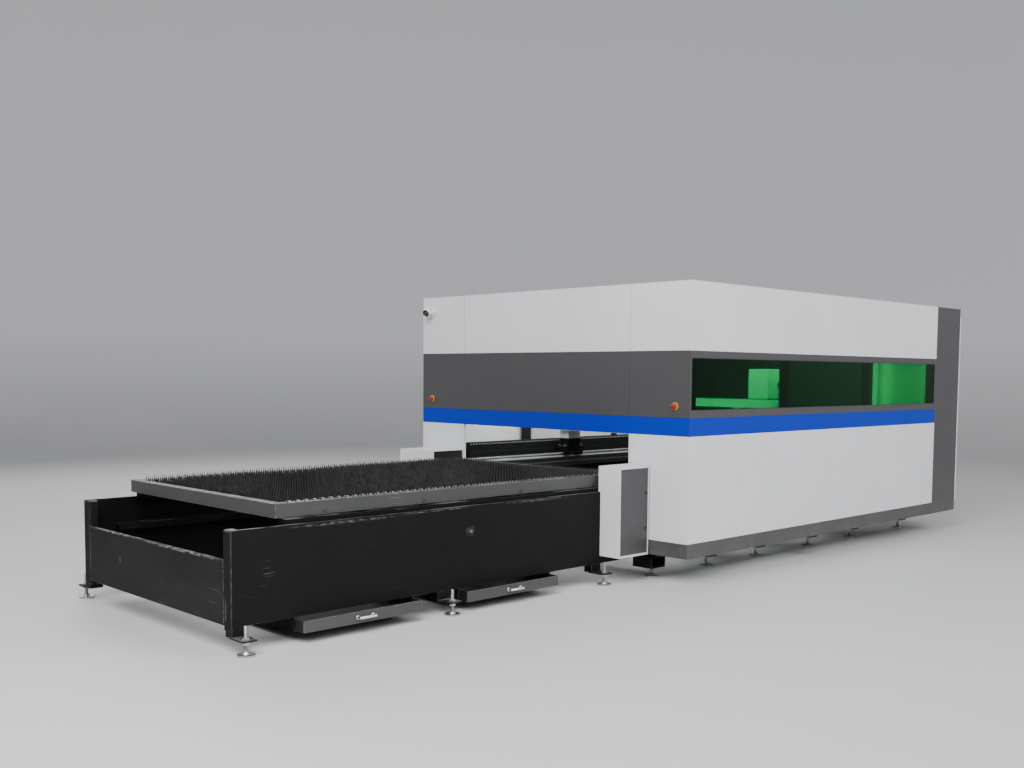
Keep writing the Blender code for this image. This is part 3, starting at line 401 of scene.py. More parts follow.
def burnt(g):
    rust = g.noise(14.0, 6.0, (1.0, 1.0, 1.0), 0.7).over(0.42, 0.70)
    hot = g.axis("Z").over(0.795, 0.822) * 0.35
    base = g.mix(rust, (0.030, 0.030, 0.031), (0.058, 0.055, 0.053))
    return {
        "Base Color": g.mix(hot, base, (0.120, 0.121, 0.124)),
        "Metallic": 0.55 - rust * 0.35,
        "Roughness": rust * 0.30 + 0.38,
        "Normal": g.relief(g.noise(300.0, 4.0), 0.35, 0.0006),
    }


def zinc_recipe(g):
    spangle = g.add("ShaderNodeTexVoronoi", {}, {"Vector": g.place(), "Scale": 320.0}, "Distance")
    return {
        "Base Color": g.mix(spangle.over(0.1, 0.7), (0.66, 0.67, 0.69), (0.48, 0.49, 0.51)),
        "Roughness": spangle * 0.18 + 0.26,
        "Normal": g.relief(g.noise(500.0, 2.0), 0.10, 0.0003),
    }


steel = ground("ground steel", (0.72, 0.73, 0.74), 0.24)
bright = ground("bright rubbed steel", (0.88, 0.87, 0.85), 0.30)
copper = ground("copper", (0.80, 0.42, 0.26), 0.28, (1.0, 1.0, 0.05))
slat_steel = finish("burnt slat steel", burnt)
zinc = finish("zinc plate", zinc_recipe, Metallic=1.0)
comb_steel = ground("sheared comb steel", (0.72, 0.72, 0.71), 0.42)
edge_steel = finish("wiped rail edge", zinc_recipe, Metallic=0.15)
oiled = ground("black oiled steel", (0.070, 0.070, 0.072), 0.36)
print("metals", steel.name, bright.name, copper.name, slat_steel.name, zinc.name)

# %% [markdown]
# ## Plastic, rubber and laser glass
# The cable chain is moulded nylon, the seals are rubber, the stop buttons are glossy moulded plastic. The
# windows are the machine's most telling part: thick green acrylic that stops the laser's light and lets you
# watch the cut. It is a real transmission shader, so the lamps inside make the white parts behind it glow.

# %% Plastic, rubber and laser glass
def moulded(name, color, roughness, grain=180.0, shine=0.5):
    pale = tuple(c * 0.9 + 0.008 for c in color)

    def recipe(g):
        worn = g.noise(11.0, 4.0).over(0.35, 0.75)
        return {
            "Base Color": g.mix(worn * 0.45, color, pale),
            "Roughness": worn * 0.12 + (roughness - 0.05),
            "Normal": g.relief(g.noise(grain, 3.0), 0.25, 0.0006, g.rounded(0.0008)),
        }

    return finish(name, recipe, Specular_IOR_Level=shine)


def glass_recipe(g):
    smears = g.noise(3.5, 5.0, (1.0, 1.0, 2.5)).over(0.45, 0.80)
    return {"Roughness": smears * 0.05 + 0.015}


chain_plastic = moulded("black chain plastic", (0.007, 0.008, 0.008), 0.55, shine=0.20)
rubber = moulded("black rubber", (0.014, 0.014, 0.014), 0.62, 320.0)
# A near-black finish that paints the shade inside an open tube.
tube_shade_black = moulded("painted shade in a tube", (0.001, 0.001, 0.001), 0.90, shine=0.0)
stop_red = moulded("red button plastic", (0.36, 0.008, 0.008), 0.30)
stop_yellow = moulded("yellow collar plastic", (0.52, 0.27, 0.008), 0.38)
shell_white = moulded("white camera plastic", (0.74, 0.74, 0.74), 0.30)
pin_white = moulded("pale pin plastic", (0.58, 0.59, 0.58), 0.45)
laser_glass = finish("green laser glass", glass_recipe, Base_Color=(0.0, 0.36, 0.080, 1.0),
                     Transmission_Weight=1.0, IOR=1.22)
lens_glass = finish("lens glass", lambda g: {"Roughness": g.noise(60.0).over(0.4, 0.9) * 0.04 + 0.03},
                    Base_Color=(0.006, 0.006, 0.009, 1.0), Coat_Weight=1.0)
lamp_face = finish("lamp diffuser", lambda g: {"Roughness": g.noise(90.0) * 0.1 + 0.4},
                   Base_Color=(0.9, 0.9, 0.9, 1.0), Emission_Color=(1.0, 1.0, 1.0, 1.0),
                   Emission_Strength=6.0)


def lit_recipe(g):
    # The emission is painted light: brighter to the left and upwards, with a painted highlight in an upright
    # band.
    left = 1.0 - g.axis("X").over(2.45, 3.05)
    painted_highlight_band = (1.0 - g.axis("X").over(2.42, 2.60)) * g.axis("X").over(2.28, 2.36)
    glow = left * 0.16 + painted_highlight_band * 0.40 + g.axis("Z").over(1.25, 1.65) * 0.08 + 0.26
    return {
        "Base Color": g.mix(g.noise(5.0).over(0.3, 0.8) * 0.3, (0.74, 0.75, 0.77), (0.66, 0.67, 0.68)),
        "Emission Color": g.mix(glow.clamped(), (0.05, 0.05, 0.05), (1.0, 1.0, 1.0)),
    }


lit_lining = finish("lit white lining", lit_recipe, Roughness=0.45, Emission_Strength=0.9)
print("glass", laser_glass.name)

# %% [markdown]
# ## Finishes for the solids
# The record says which paint each solid has, by slot. One table turns slots into finishes, and every solid
# gets its own.

# %% Give every solid its finish
finish_of = {
    "white_panel": white,
    "grey_panel": grey,
    "blue_stripe": blue,
    "machine_paint": machine_grey,
    "black_table": table_black,
    "pallet_paint": pallet_grey,
    "slat_steel": slat_steel,
    "tray_paint": tray_grey,
    "ground_steel": steel,
    "chain_plastic": chain_plastic,
    "laser_glass": laser_glass,
    "stop_red": stop_red,
    "stop_yellow": stop_yellow,
    "camera_white": shell_white,
}
for entry in frame["record"]["subparts"]:
    solid = frame["nodes"][entry["node"]]
    solid.data.materials.clear()
    solid.data.materials.append(finish_of[entry["material_slot"]])
print(len(frame["nodes"]), "solids finished")

# %% [markdown]
# ## Helpers for meshes
# Small parts are built from two moves: a block, with its edges rounded where they show, and an outline
# turned round an axis as on a lathe. Each helper works in the machine's own coordinates, so that a finished
# piece needs no move afterwards. A piece is one mesh, whether it holds one form or a row of equal ones.

# %% Helpers for meshes
def keep(name, bm, material, body, smooth=False):
    """Turn a bmesh into a piece of the machine that rides on a body."""
    bmesh.ops.recalc_face_normals(bm, faces=bm.faces)
    mesh = bpy.data.meshes.new(name)
    bm.to_mesh(mesh)
    bm.free()
    mesh.materials.append(material)
    if smooth:
        soften(mesh)
    made = bpy.data.objects.new(name, mesh)
    bpy.context.scene.collection.objects.link(made)
    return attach(made, body)


def soften(mesh):
    """Smooth shading, except over edges sharper than 35 degrees."""
    mesh.shade_smooth()
    mesh.set_sharp_from_angle(angle=math.radians(35))


def add_block(bm, low, high, rounding=0.0, segments=2):
    """Add a block with rounded edges to a bmesh."""
    low, high = Vector(low), Vector(high)
    made = bmesh.ops.create_cube(bm, size=1.0)["verts"]
    bmesh.ops.scale(bm, verts=made, vec=high - low)
    bmesh.ops.translate(bm, verts=made, vec=(low + high) / 2)
    if rounding:
        edges = list({edge for vert in made for edge in vert.link_edges})
        bmesh.ops.bevel(bm, geom=edges, offset=rounding, segments=segments, affect="EDGES")


def add_turned(bm, outline, base, axis, sides):
    """Add a turned part: (radius, height) pairs along an axis that starts at base."""
    turn = Vector((0, 0, 1)).rotation_difference(Vector(axis)).to_matrix().to_4x4()
    move = Matrix.Translation(base) @ turn
    angles = [2 * math.pi * n / sides for n in range(sides)]
    rings = []
    for radius, height in outline:
        if radius < 1e-6:
            rings.append([bm.verts.new(move @ Vector((0.0, 0.0, height)))])
            continue
        spots = [Vector((radius * math.cos(a), radius * math.sin(a), height)) for a in angles]
        rings.append([bm.verts.new(move @ spot) for spot in spots])
    for lower, upper in zip(rings, rings[1:]):
        for n in range(sides):
            m = (n + 1) % sides
            around = ((lower, n), (lower, m), (upper, m), (upper, n))
            corners = list(dict.fromkeys(ring[k % len(ring)] for ring, k in around))
            if len(corners) > 2:
                bm.faces.new(corners)
    for end in (rings[0], rings[-1]):
        if len(end) > 1:
            bm.faces.new(end)


def blocks(name, corners, material, body, rounding=0.0, segments=2):
    """One piece of blocks, each given by its lowest and its highest corner."""
    bm = bmesh.new()
    for low, high in corners:
        add_block(bm, low, high, rounding, segments)
    return keep(name, bm, material, body)


def turned(name, outline, places, axis, sides, material, body):
    """One piece of equal turned parts, one at each place."""
    bm = bmesh.new()
    for place in places:
        add_turned(bm, outline, place, axis, sides)
    return keep(name, bm, material, body, smooth=True)


# %% [markdown]
# ## Geometry Nodes
# What repeats is grown by a Geometry Nodes tree: one tooth becomes a slat, one slat a grid of fifty. The
# class below names the few nodes that every tree here needs. The function makes a tree with named inputs,
# runs it once, and keeps the result as a plain mesh.

# %% Shapes as nodes
class Shapes(Graph):
    def cylinder(self, sides, radius, depth):
        sockets = {"Vertices": sides, "Radius": radius, "Depth": depth}
        return self.add("GeometryNodeMeshCylinder", {}, sockets)

    def cone(self, sides, bottom, top, depth):
        sockets = {"Vertices": sides, "Radius Bottom": bottom, "Radius Top": top, "Depth": depth}
        return self.add("GeometryNodeMeshCone", {}, sockets)

    def moved(self, shape, place=(0.0, 0.0, 0.0), turn=(0.0, 0.0, 0.0), scale=(1.0, 1.0, 1.0)):
        sockets = {0: shape, "Translation": place, "Rotation": turn, "Scale": scale}
        return self.add("GeometryNodeTransform", {}, sockets)

    def bar(self, size, middle=(0.0, 0.0, 0.0)):
        """A plain bar of a size, round a middle."""
        return self.moved(self.add("GeometryNodeMeshCube", {}, {"Size": size}), middle)

    def joined(self, *parts):
        """Several geometries as one."""
        node = self.tree.nodes.new("GeometryNodeJoinGeometry")
        for part in parts:
            self.tree.links.new(part.socket, node.inputs[0])
        return Socket(self, node.outputs[0])

    def copies(self, points, thing, turn=(0.0, 0.0, 0.0), scale=(1.0, 1.0, 1.0)):
        """A copy of a shape on every point."""
        sockets = {"Points": points, "Instance": thing, "Rotation": turn, "Scale": scale}
        return self.add("GeometryNodeInstanceOnPoints", {}, sockets)

    def row(self, count, start, step, thing):
        """Copies of a shape in a straight row."""
        sockets = {"Count": count, "Start Location": start, "Offset": step}
        return self.copies(self.add("GeometryNodeMeshLine", {}, sockets), thing)

    def run(self, given, y, z, thing):
        """A row along X, from the tree's inputs First, Pitch and Count."""
        return self.row(given["Count"], (given["First"], y, z), (given["Pitch"], 0.0, 0.0), thing)

    def along(self, path, pitch):
        """Points along a path, one pitch apart."""
        curve = self.add("GeometryNodeMeshToCurve", {}, {0: path})
        return self.add("GeometryNodeCurveToPoints", {"mode": "LENGTH"}, {0: curve, "Length": pitch})


# %% Run a Geometry Nodes tree
def grow(name, sizes, build, material, body, smooth=False, spots=(), path=False):
    """sizes are the tree's named inputs, and build(graph, inputs) gives its geometry.

    spots are places for the tree to start from, and path joins them into a line."""
    tree = bpy.data.node_groups.new(name, "GeometryNodeTree")
    tree.interface.new_socket("Geometry", in_out="OUTPUT", socket_type="NodeSocketGeometry")
    tree.interface.new_socket("Spots", in_out="INPUT", socket_type="NodeSocketGeometry")
    kinds = {int: "NodeSocketInt", float: "NodeSocketFloat", tuple: "NodeSocketVector"}
    keys = {}
    for label, value in sizes.items():
        made = tree.interface.new_socket(label, in_out="INPUT", socket_type=kinds[type(value)])
        keys[made.identifier] = value
    graph = Shapes(tree)
    entry = tree.nodes.new("NodeGroupInput")
    inputs = {label: Socket(graph, entry.outputs[label]) for label in ("Spots", *sizes)}
    real = graph.add("GeometryNodeRealizeInstances", {}, {0: build(graph, inputs)})
    painted = graph.add("GeometryNodeSetMaterial", {}, {0: real, "Material": material})
    leave = tree.nodes.new("NodeGroupOutput")
    tree.links.new(painted.socket, leave.inputs[0])

    made = bpy.data.objects.new(name, bpy.data.meshes.new(name))
    links = [(n, n + 1) for n in range(len(spots) - 1)] if path else []
    made.data.from_pydata([tuple(spot) for spot in spots], links, [])
    bpy.context.scene.collection.objects.link(made)
    modifier = made.modifiers.new("Grown", "NODES")
    modifier.node_group = tree
    for key, value in keys.items():
        modifier[key] = value
    graph_now = bpy.context.evaluated_depsgraph_get()
    mesh = bpy.data.meshes.new_from_object(made.evaluated_get(graph_now))
    made.modifiers.clear()
    made.data = mesh
    if smooth:
        soften(mesh)
    print(name, len(mesh.polygons), "faces")
    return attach(made, body)


# %% [markdown]
# ## Toothed slats
# A sheet on this machine rests on hundreds of steel points, so that the laser has little to hit below it.
# Each slat is a strip on edge with a row of sharp teeth, and fifty of them stand across the pallet. The
# tooth is a cone with four sides squeezed flat to the strip's thickness. A little random lean and height,
# always from the same noise, makes them look cut and used.

# %% The two pallets
pallet_length = 2.990
pallet_margin = 0.095
slat_count = 50
slat_pitch = (pallet_length - 2 * pallet_margin) / (slat_count - 1)
pallets = (
    ("pallet_upper", "upper_pallet", -3.736, 0.0),
    ("pallet_lower", "lower_pallet", front + 0.410, 0.200),
)
print("a slat every", round(slat_pitch, 4))


# %% Toothed slats
tooth_count = 60
tooth_tip = 0.0002
slat_length, slat_web = 1.786, 1.680


def slat_grid(g, given):
    thick, wide = given["Thickness"], given["Tooth width"]
    pitch, root = given["Tooth pitch"], given["Root height"]
    tooth = g.cone(4, wide * 0.5, tooth_tip, given["Tooth height"])
    tooth = g.moved(tooth, scale=(thick / wide * 1.6, 1.0, 1.0))
    half = pitch * (tooth_count - 1) * 0.5
    teeth = g.row(given["Teeth"], (0.0, 0.0 - half, root), (0.0, pitch, 0.0), tooth)
    deep = g.bar((thick, slat_web, 0.014), (0.0, 0.0, root - 0.006))
    thin = g.bar((thick, slat_length, 0.010), (0.0, 0.0, root - 0.004))
    slat = g.joined(teeth, deep, thin)
    slats = g.row(given["Slats"], (given["First slat"], 0.0, 0.0), (given["Slat pitch"], 0.0, 0.0), slat)
    real = g.add("GeometryNodeRealizeInstances", {}, {0: slats})
    where = g.add("GeometryNodeInputPosition")
    height = g.add("ShaderNodeSeparateXYZ", {}, {0: where}, "Z") - root
    wobble = g.add("ShaderNodeTexNoise", {}, {"Vector": where, "Scale": 31.0}, "Color")
    centred = g.add("ShaderNodeVectorMath", {"operation": "SUBTRACT"}, {0: wobble, 1: (0.5, 0.5, 0.62)})
    sized = g.add("ShaderNodeVectorMath", {"operation": "MULTIPLY"}, {0: centred, 1: (0.014, 0.006, 0.009)})
    at_tips = {0: sized, "Scale": height.over(0.010, 0.045)}
    lean = g.add("ShaderNodeVectorMath", {"operation": "SCALE"}, at_tips)
    return g.add("GeometryNodeSetPosition", {}, {0: real, "Offset": lean})


for name, body, start, drop in pallets:
    sizes = {
        "Slats": slat_count, "Slat pitch": slat_pitch, "First slat": start + pallet_margin,
        "Teeth": tooth_count, "Tooth pitch": 0.0297, "Tooth width": 0.024, "Tooth height": 0.050,
        "Thickness": 0.003, "Root height": 0.774 - drop,
    }
    grid = grow(f"{name}_teeth", sizes, slat_grid, slat_steel, body)
    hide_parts(f"{name}_slats")

# %% [markdown]
# ## Combs
# The ends of the slats stand in combs, folded strips with a slot for every slat, welded along both long
# sides of the pallet. The tabs between the slots are sheared clean and catch the light, which gives the
# pallet its dotted bright line. One tab is repeated beside every slat.

# %% Combs along the pallets
comb_y, comb_sheet, comb_length = 0.8455, 0.0035, 2.86


def comb_rows(g, given):
    tab = g.bar((0.030, comb_sheet, 0.026))
    first, pitch, top = given["First slat"] + given["Slat pitch"] * 0.5, given["Slat pitch"], given["Top"]
    sides = []
    for y in (-comb_y, comb_y):
        sides.append(g.row(given["Tabs"], (first, y, top - 0.013), (pitch, 0.0, 0.0), tab))
        sides.append(g.bar((comb_length, comb_sheet, 0.014), (given["Middle"], y, top - 0.030)))
    return g.joined(*sides)


for name, body, start, drop in pallets:
    sizes = {
        "Tabs": slat_count - 1, "Slat pitch": slat_pitch, "First slat": start + pallet_margin,
        "Top": 0.7955 - drop, "Middle": start + pallet_length / 2,
    }
    grow(f"{name}_combs", sizes, comb_rows, comb_steel, body)

# %% [markdown]
# ## Wheels of the pallets
# Each pallet rolls on eight steel wheels between its side members, on axles whose heads show as small dark
# discs on the outside. Both are turned parts, so they are made as on a lathe, from half of their outline.

# %% Wheels and axle heads
axle_z, wheel_y, axle_end_y = 0.7303, 0.895, 0.907
wheel_offsets = [pallet_length * share for share in (0.1107, 0.3592, 0.6445, 0.8896)]
wheel_outline = [(0.0, 0.0), (0.010, 0.0), (0.011, 0.004), (0.024, 0.005), (0.0305, 0.007), (0.0305, 0.024),
                 (0.0285, 0.0285), (0.012, 0.0295), (0.011, 0.033), (0.0, 0.033)]
axle_outline = [(0.0158, -0.0005), (0.0158, 0.0022), (0.0135, 0.0042), (0.0075, 0.0042), (0.0065, 0.0020),
                (0.0, 0.0020)]
for name, body, start, drop in pallets:
    wheels, heads = bmesh.new(), bmesh.new()
    for x in wheel_offsets:
        for sign in (-1, 1):
            add_turned(wheels, wheel_outline, (start + x, sign * wheel_y, axle_z - drop), (0, -sign, 0), 28)
            add_turned(heads, axle_outline, (start + x, sign * axle_end_y, axle_z - drop), (0, sign, 0), 20)
    keep(f"{name}_wheels", wheels, steel, body, smooth=True)
    keep(f"{name}_axle_heads", heads, oiled, body, smooth=True)
    print(name, "wheels at", [round(start + x, 3) for x in wheel_offsets])

# %% [markdown]
# ## Levelling feet
# The table and the bed stand on threaded feet: a round pad, a stud, and nuts that lock the height. They are
# zinc-plated and brighter than all around them, so they are easily seen. The thread is the telling detail.
# It is grown as a stack of small cones, which from a step away can't be told from a true spiral.

# %% Levelling feet
def foot(g, given):
    pitch = given["Thread"]
    parts = [g.moved(g.cylinder(36, 0.050, 0.0105), (0.0, 0.0, 0.00525))]
    for radius, top, low, deep in ((0.0495, 0.044, 0.0105, 0.0025), (0.026, 0.018, 0.0128, 0.010),
                                   (0.018, 0.0135, 0.0225, 0.005)):
        parts.append(g.moved(g.cone(36, radius, top, deep), (0.0, 0.0, low)))
    up = g.cone(12, 0.0104, 0.0122, pitch * 0.5)
    down = g.moved(g.cone(12, 0.0122, 0.0104, pitch * 0.5), (0.0, 0.0, pitch * 0.5))
    thread = g.row(given["Turns"], (0.0, 0.0, 0.026), (0.0, 0.0, pitch), g.joined(up, down))
    for low, deep in ((0.062, 0.0175), (0.0905, 0.013)):
        parts.append(g.moved(g.cylinder(6, 0.0205, deep), (0.0, 0.0, low + deep / 2)))
    return g.copies(given["Spots"], g.joined(thread, *parts))


def feet(name, first, offsets, half_width, turns):
    spots = [(first + x, sign * half_width, 0.0) for x in offsets for sign in (-1, 1)]
    sizes = {"Thread": 0.0035, "Turns": turns}
    grow(name, sizes, foot, zinc, "machine", spots=spots)


feet("table_feet", table_end, (0.039, 1.506, 2.966), 1.032, 40)
feet("bed_feet", front, (0.142, 0.850, 1.560, 2.400, 3.160, 4.140), 1.050, 15)

# %% [markdown]
# ## Screws
# The carriages and the head are held by socket screws. One head is enough: a low cone with a six-sided hole
# cut into it. A tree sets it on every spot it is given and turns it to the side that the spot faces.

# %% Socket screws
upward, backward = (0.0, 0.0, 0.0), (0.0, math.pi / 2, 0.0)


def socket_heads(g, given):
    size = given["Radius"]
    head = g.cone(16, size, size * 0.82, size * 0.55)
    hole = g.moved(g.cylinder(6, size * 0.48, size * 0.6), (0.0, 0.0, size * 0.55))
    head = g.add("GeometryNodeMeshBoolean", {"operation": "DIFFERENCE"}, {"Mesh 1": head, "Mesh 2": hole})
    return g.copies(given["Spots"], head, given["Turn"])


def screws(name, spots, facing, body, radius, material):
    sizes = {"Radius": radius, "Turn": facing}
    grow(name, sizes, socket_heads, material, body, spots=spots)


def evenly(first, last, count):
    return [first + (last - first) * n / (count - 1) for n in range(count)]


# %% [markdown]
# ## Guide rails, rack and drag chain
# The gantry runs on two ground profile rails. Each is screwed down every sixty millimetres, the screws sit
# in counterbores with caps, and the carriages keep its edges wiped and bright. Beside each rail lies a
# toothed rack, which the gantry's pinions climb along. The cables follow in a chain of moulded links that
# lies along the far rail and folds over on itself.

# %% Edges and caps of the rails, and racks
rail_y, rail_top = 0.985, 0.7776
rack_y, rack_low, rack_high = 1.042, 0.7497, 0.764
rack_length, rack_middle = 4.14, 1.497
wiped = 0.0003


def rail_edges():
    strips = []
    for node in ("rail_near", "rail_far"):
        low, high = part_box(node)
        for y in (low.y, high.y):
            for z0, z1 in ((low.z + 0.0010, low.z + 0.0140), (high.z - 0.0088, high.z - 0.0005)):
                strips.append(((low.x + 0.001, y - wiped, z0), (high.x - 0.001, y + wiped, z1)))
    return strips


def rail_caps(g, given):
    cap = g.cylinder(14, 0.0075, 0.0006)
    return g.joined(*(g.run(given, sign * rail_y, rail_top, cap) for sign in (-1, 1)))


def rack_teeth(g, given):
    tooth = g.cone(4, 0.0045, 0.0018, 0.005)
    tooth = g.moved(tooth, turn=(0.0, 0.0, math.pi / 4), scale=(0.9, 2.3, 1.0))
    sides = []
    for y in (-rack_y, rack_y):
        sides.append(g.run(given, y, rack_high, tooth))
        sides.append(g.bar((rack_length, 0.015, 0.0290), (rack_middle, y, rack_low)))
    return g.joined(*sides)


blocks("rail_edges", rail_edges(), edge_steel, "machine")
sizes = {"Count": 69, "Pitch": 0.060, "First": front + 0.150}
grow("rail_caps", sizes, rail_caps, oiled, "machine")
sizes = {"Count": 548, "Pitch": 0.00754, "First": front + 0.135}
grow("racks", sizes, rack_teeth, steel, "machine")

# %% The drag chain
chain_low, chain_high, half_link = 0.7353, 0.9053, 0.0425
chain_x, chain_far_x, chain_y = front + 0.120, front + 0.120 + 2.960, 1.113
pin_y, pin_z = 1.0628, 0.8925
run_low, run_high = chain_low + half_link, chain_high - half_link
bend = (run_high - run_low) / 2
bend_x = chain_x + bend + half_link
chain_path = [(chain_far_x - 0.004, chain_y, run_low)]
chain_path += [(bend_x - bend * math.sin(a), chain_y, (run_low + run_high) / 2 - bend * math.cos(a))
               for a in evenly(0.0, math.pi, 13)]
chain_path += [(chain_far_x - 0.004, chain_y, run_high)]
lying = (math.pi / 2, 0.0, 0.0)


def chain_links(g, given):
    high, wide, pitch = given["Height"], given["Width"], given["Pitch"]
    plate = (pitch * 0.86, 0.006, high)
    parts = [g.bar(plate, (0.0, wide * 0.5 - 0.003, 0.0)), g.bar(plate, (0.0, 0.003 - wide * 0.5, 0.0))]
    for z in (-0.46, 0.46):
        parts.append(g.bar((pitch * 0.5, wide - 0.004, high * 0.07), (0.0, 0.0, high * z)))
    for sign in (-1, 1):
        pin = g.cylinder(10, pitch * 0.24, 0.002)
        parts.append(g.moved(pin, (0.0, sign * (wide * 0.5 + 0.0005), high * 0.30), lying))
    tangent = {"Vector": g.add("GeometryNodeInputTangent")}
    turn = g.add("FunctionNodeAlignRotationToVector", {"axis": "X", "pivot_axis": "Y"}, tangent)
    return g.copies(g.along(given["Spots"], pitch), g.joined(*parts), turn)


def chain_pins(g, given):
    pin = g.moved(g.cylinder(10, 0.0054, 0.0020), turn=lying)
    return g.run(given, pin_y, pin_z, pin)


sizes = {"Count": 85, "Pitch": 0.0327, "First": chain_x + 0.085}
grow("drag_chain_pins", sizes, chain_pins, pin_white, "machine")
sizes = {"Height": 0.0840, "Width": 0.0985, "Pitch": 0.0245}
links = grow("drag_chain_links", sizes, chain_links, chain_plastic, "machine",
             spots=chain_path, path=True)
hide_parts("drag_chain")

# %% [markdown]
# ## Stop buttons and camera
# A mushroom button on a yellow collar sits beside the mouth on each side, and a small turret camera looks
# down on the table from the far corner. They are the smallest parts that anyone would notice, and all of
# them are round, so each is turned from its half outline.

# %% Stop buttons
outward = (-1, 0, 0)
skin_gap = 0.0003
collar_outline = [(0.0155, 0.0), (0.0300, 0.0), (0.0300, 0.0042), (0.0285, 0.0060), (0.0155, 0.0060)]
ring_outline = [(0.0145, 0.0), (0.0175, 0.0), (0.0175, 0.0085), (0.0160, 0.0100), (0.0145, 0.0100)]
button_outline = [(0.0138, -0.010), (0.0138, 0.0130), (0.0200, 0.0145), (0.0200, 0.0190), (0.0192, 0.0225),
                  (0.0165, 0.0255), (0.0110, 0.0275), (0.0, 0.0282)]
for side_name, sign in both_sides:
    place = [(front - skin_gap, sign * 1.357, 1.300)]
    made = turned(f"stop_collar_{side_name}_face", collar_outline, place, outward, 40, stop_yellow,
                  "machine")
    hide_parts(f"stop_collar_{side_name}")
    turned(f"stop_ring_{side_name}", ring_outline, place, outward, 32, oiled, "machine")
    made = turned(f"stop_mushroom_{side_name}", button_outline, place, outward, 40, stop_red,
                  f"stop_button_{side_name}")
    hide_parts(f"stop_button_{side_name}")
    print("stop", side_name, place)


# %% The camera
def make_camera():
    base = Vector((front - skin_gap, 1.365, 2.070))
    look = Vector((-0.90, -0.20, -0.36)).normalized()
    centre = base + Vector((-0.0508, 0.0, 0.0))
    shell = [(0.0, 0.0), (0.0500, 0.0), (0.0500, 0.007), (0.0475, 0.016), (0.0430, 0.0215), (0.0, 0.0220)]
    ball = [(0.040 * math.sin(a), -0.040 * math.cos(a)) for a in evenly(0.0, math.radians(136), 18)]
    ball += [(0.0270, 0.0290), (0.0262, 0.0270), (0.0, 0.0270)]
    ring = [(0.0, 0.0262), (0.0298, 0.0262), (0.0304, 0.0325), (0.0272, 0.0350), (0.0225, 0.0300),
            (0.0, 0.0295)]
    dome = [(0.0218 * math.cos(a), 0.0296 + 0.0060 * math.sin(a)) for a in evenly(0.0, math.pi / 2, 7)]
    made = turned("camera_shell", shell, [base], outward, 40, shell_white, "machine")
    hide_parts("camera_base")
    made = turned("camera_ball", ball, [centre], look, 40, shell_white, "machine")
    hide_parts("camera_head")
    turned("camera_lens_ring", ring, [centre], look, 36, rubber, "machine")
    turned("camera_lens", dome, [centre], look, 32, lens_glass, "machine")
    print("camera", round(base.z, 3), "m up, looking along", [round(v, 2) for v in look])


make_camera()

# %% [markdown]
# ## Joints between panels and window seals
# The front is made of sheets, and fine dark joints run down and across it. The panes sit behind the skin in
# black rubber, which shows as a thin line round the glass. Both are long thin bars, and a tree would gain
# nothing, so they are plain blocks in one mesh.

# %% Panel joints and seals
pane_low, pane_high = 1.272, 1.650
skin_half, sheet_edge = 1.4865, 0.931


def border(low, high, width=0.0045):
    """The four bars round a pane in an upright wall along X, as blocks."""
    (x0, y0, z0), (x1, y1, z1) = low, high
    return [((x0, y0, z0), (x1, y1, z0 + width)), ((x0, y0, z1 - width), (x1, y1, z1)),
            ((x0, y0, z0), (x0 + width, y1, z1)), ((x1 - width, y0, z0), (x1, y1, z1))]


joints = [((front - 0.0002, y - 0.0011, low), (front + 0.002, y + 0.0011, high))
          for y in (-sheet_edge, sheet_edge) for low, high in ((1.2172, 1.7008), (1.7012, 2.1960))]
joints += [((front - 0.0001, -skin_half, z - 0.0008), (front + 0.002, skin_half, z + 0.0008))
           for z in (1.2170, 1.7010)]
blocks("front_panel_joints", joints, rubber, "machine")
seals = []
for sign, spans in ((-1, ((0.018, 3.912),)), (1, ((0.043, 1.229), (2.665, 3.912)))):
    y0, y1 = sorted((sign * 1.4864, sign * 1.4842))
    for start, end in spans:
        seals += border((front + start, y0, pane_low), (front + end, y1, pane_high))
blocks("window_seals", seals, rubber, "machine")
print(len(joints), "joints and", len(seals), "seals")

# %% [markdown]
# ## Inside the cabin
# What the windows and the mouth show is mostly light on white parts: lamp housings along both sides under
# the roof, and a white lining behind the last pane. They are simple folded forms, and what matters is their
# place and their brightness behind the green. The lining gives off a little light of its own, as a
# stand-in for the light that falls there.

# %% Lamp housings and lining
lamp_y, lamp_length = 1.25, 0.90
housings, faces = [], []
for y in (-lamp_y, lamp_y):
    for x in (0.35, 1.45, 2.55):
        x0 = front + x
        housings.append(((x0, y - 0.045, 2.055), (x0 + lamp_length, y + 0.045, 2.0935)))
        faces.append(((x0 + 0.02, y - 0.034, 2.0515), (x0 + lamp_length - 0.02, y + 0.034, 2.056)))
blocks("cabin_lamp_housings", housings, white, "machine", 0.006)
blocks("cabin_lamp_faces", faces, lamp_face, "machine")
lining = [((x0, y0, 1.235), (x1, y1, 1.700)) for x0, y0, x1, y1 in (
    (2.155, -1.4000, 3.120, -1.3960), (2.155, -1.4405, 2.159, -1.3970), (3.116, -1.4405, 3.120, -1.3970))]
blocks("window_lining", lining, lit_lining, "machine", 0.0015)
print(len(housings), "lamps")

# %% [markdown]
# ## Locks and hinges
# The recessed grey doors of the two boxes beside the mouth are held by two quarter-turn locks each, and the
# doors at the back and at the far side have them too. A lock is a turned disc with a slit, so the disc is
# turned and the slit is a thin near-black bar that paints the shade inside it. The hinges of the larger
# doors are barrels of three knuckles round a pin, repeated by a tree.

# %% Hinges, as a tree
def hinge_barrels(g, given):
    radius, length = given["Radius"], given["Length"]
    parts = [g.cylinder(12, radius * 0.5, length * 1.06)]
    for share, fit in ((-0.34, 0.97), (0.0, 1.0), (0.34, 0.97)):
        parts.append(g.moved(g.cylinder(16, radius * fit, length * 0.325), (0.0, 0.0, length * share)))
    return g.copies(given["Spots"], g.joined(*parts))


def hinges(name, spots, radius, length):
    sizes = {"Radius": radius, "Length": length}
    grow(name, sizes, hinge_barrels, oiled, "machine", smooth=True, spots=spots)


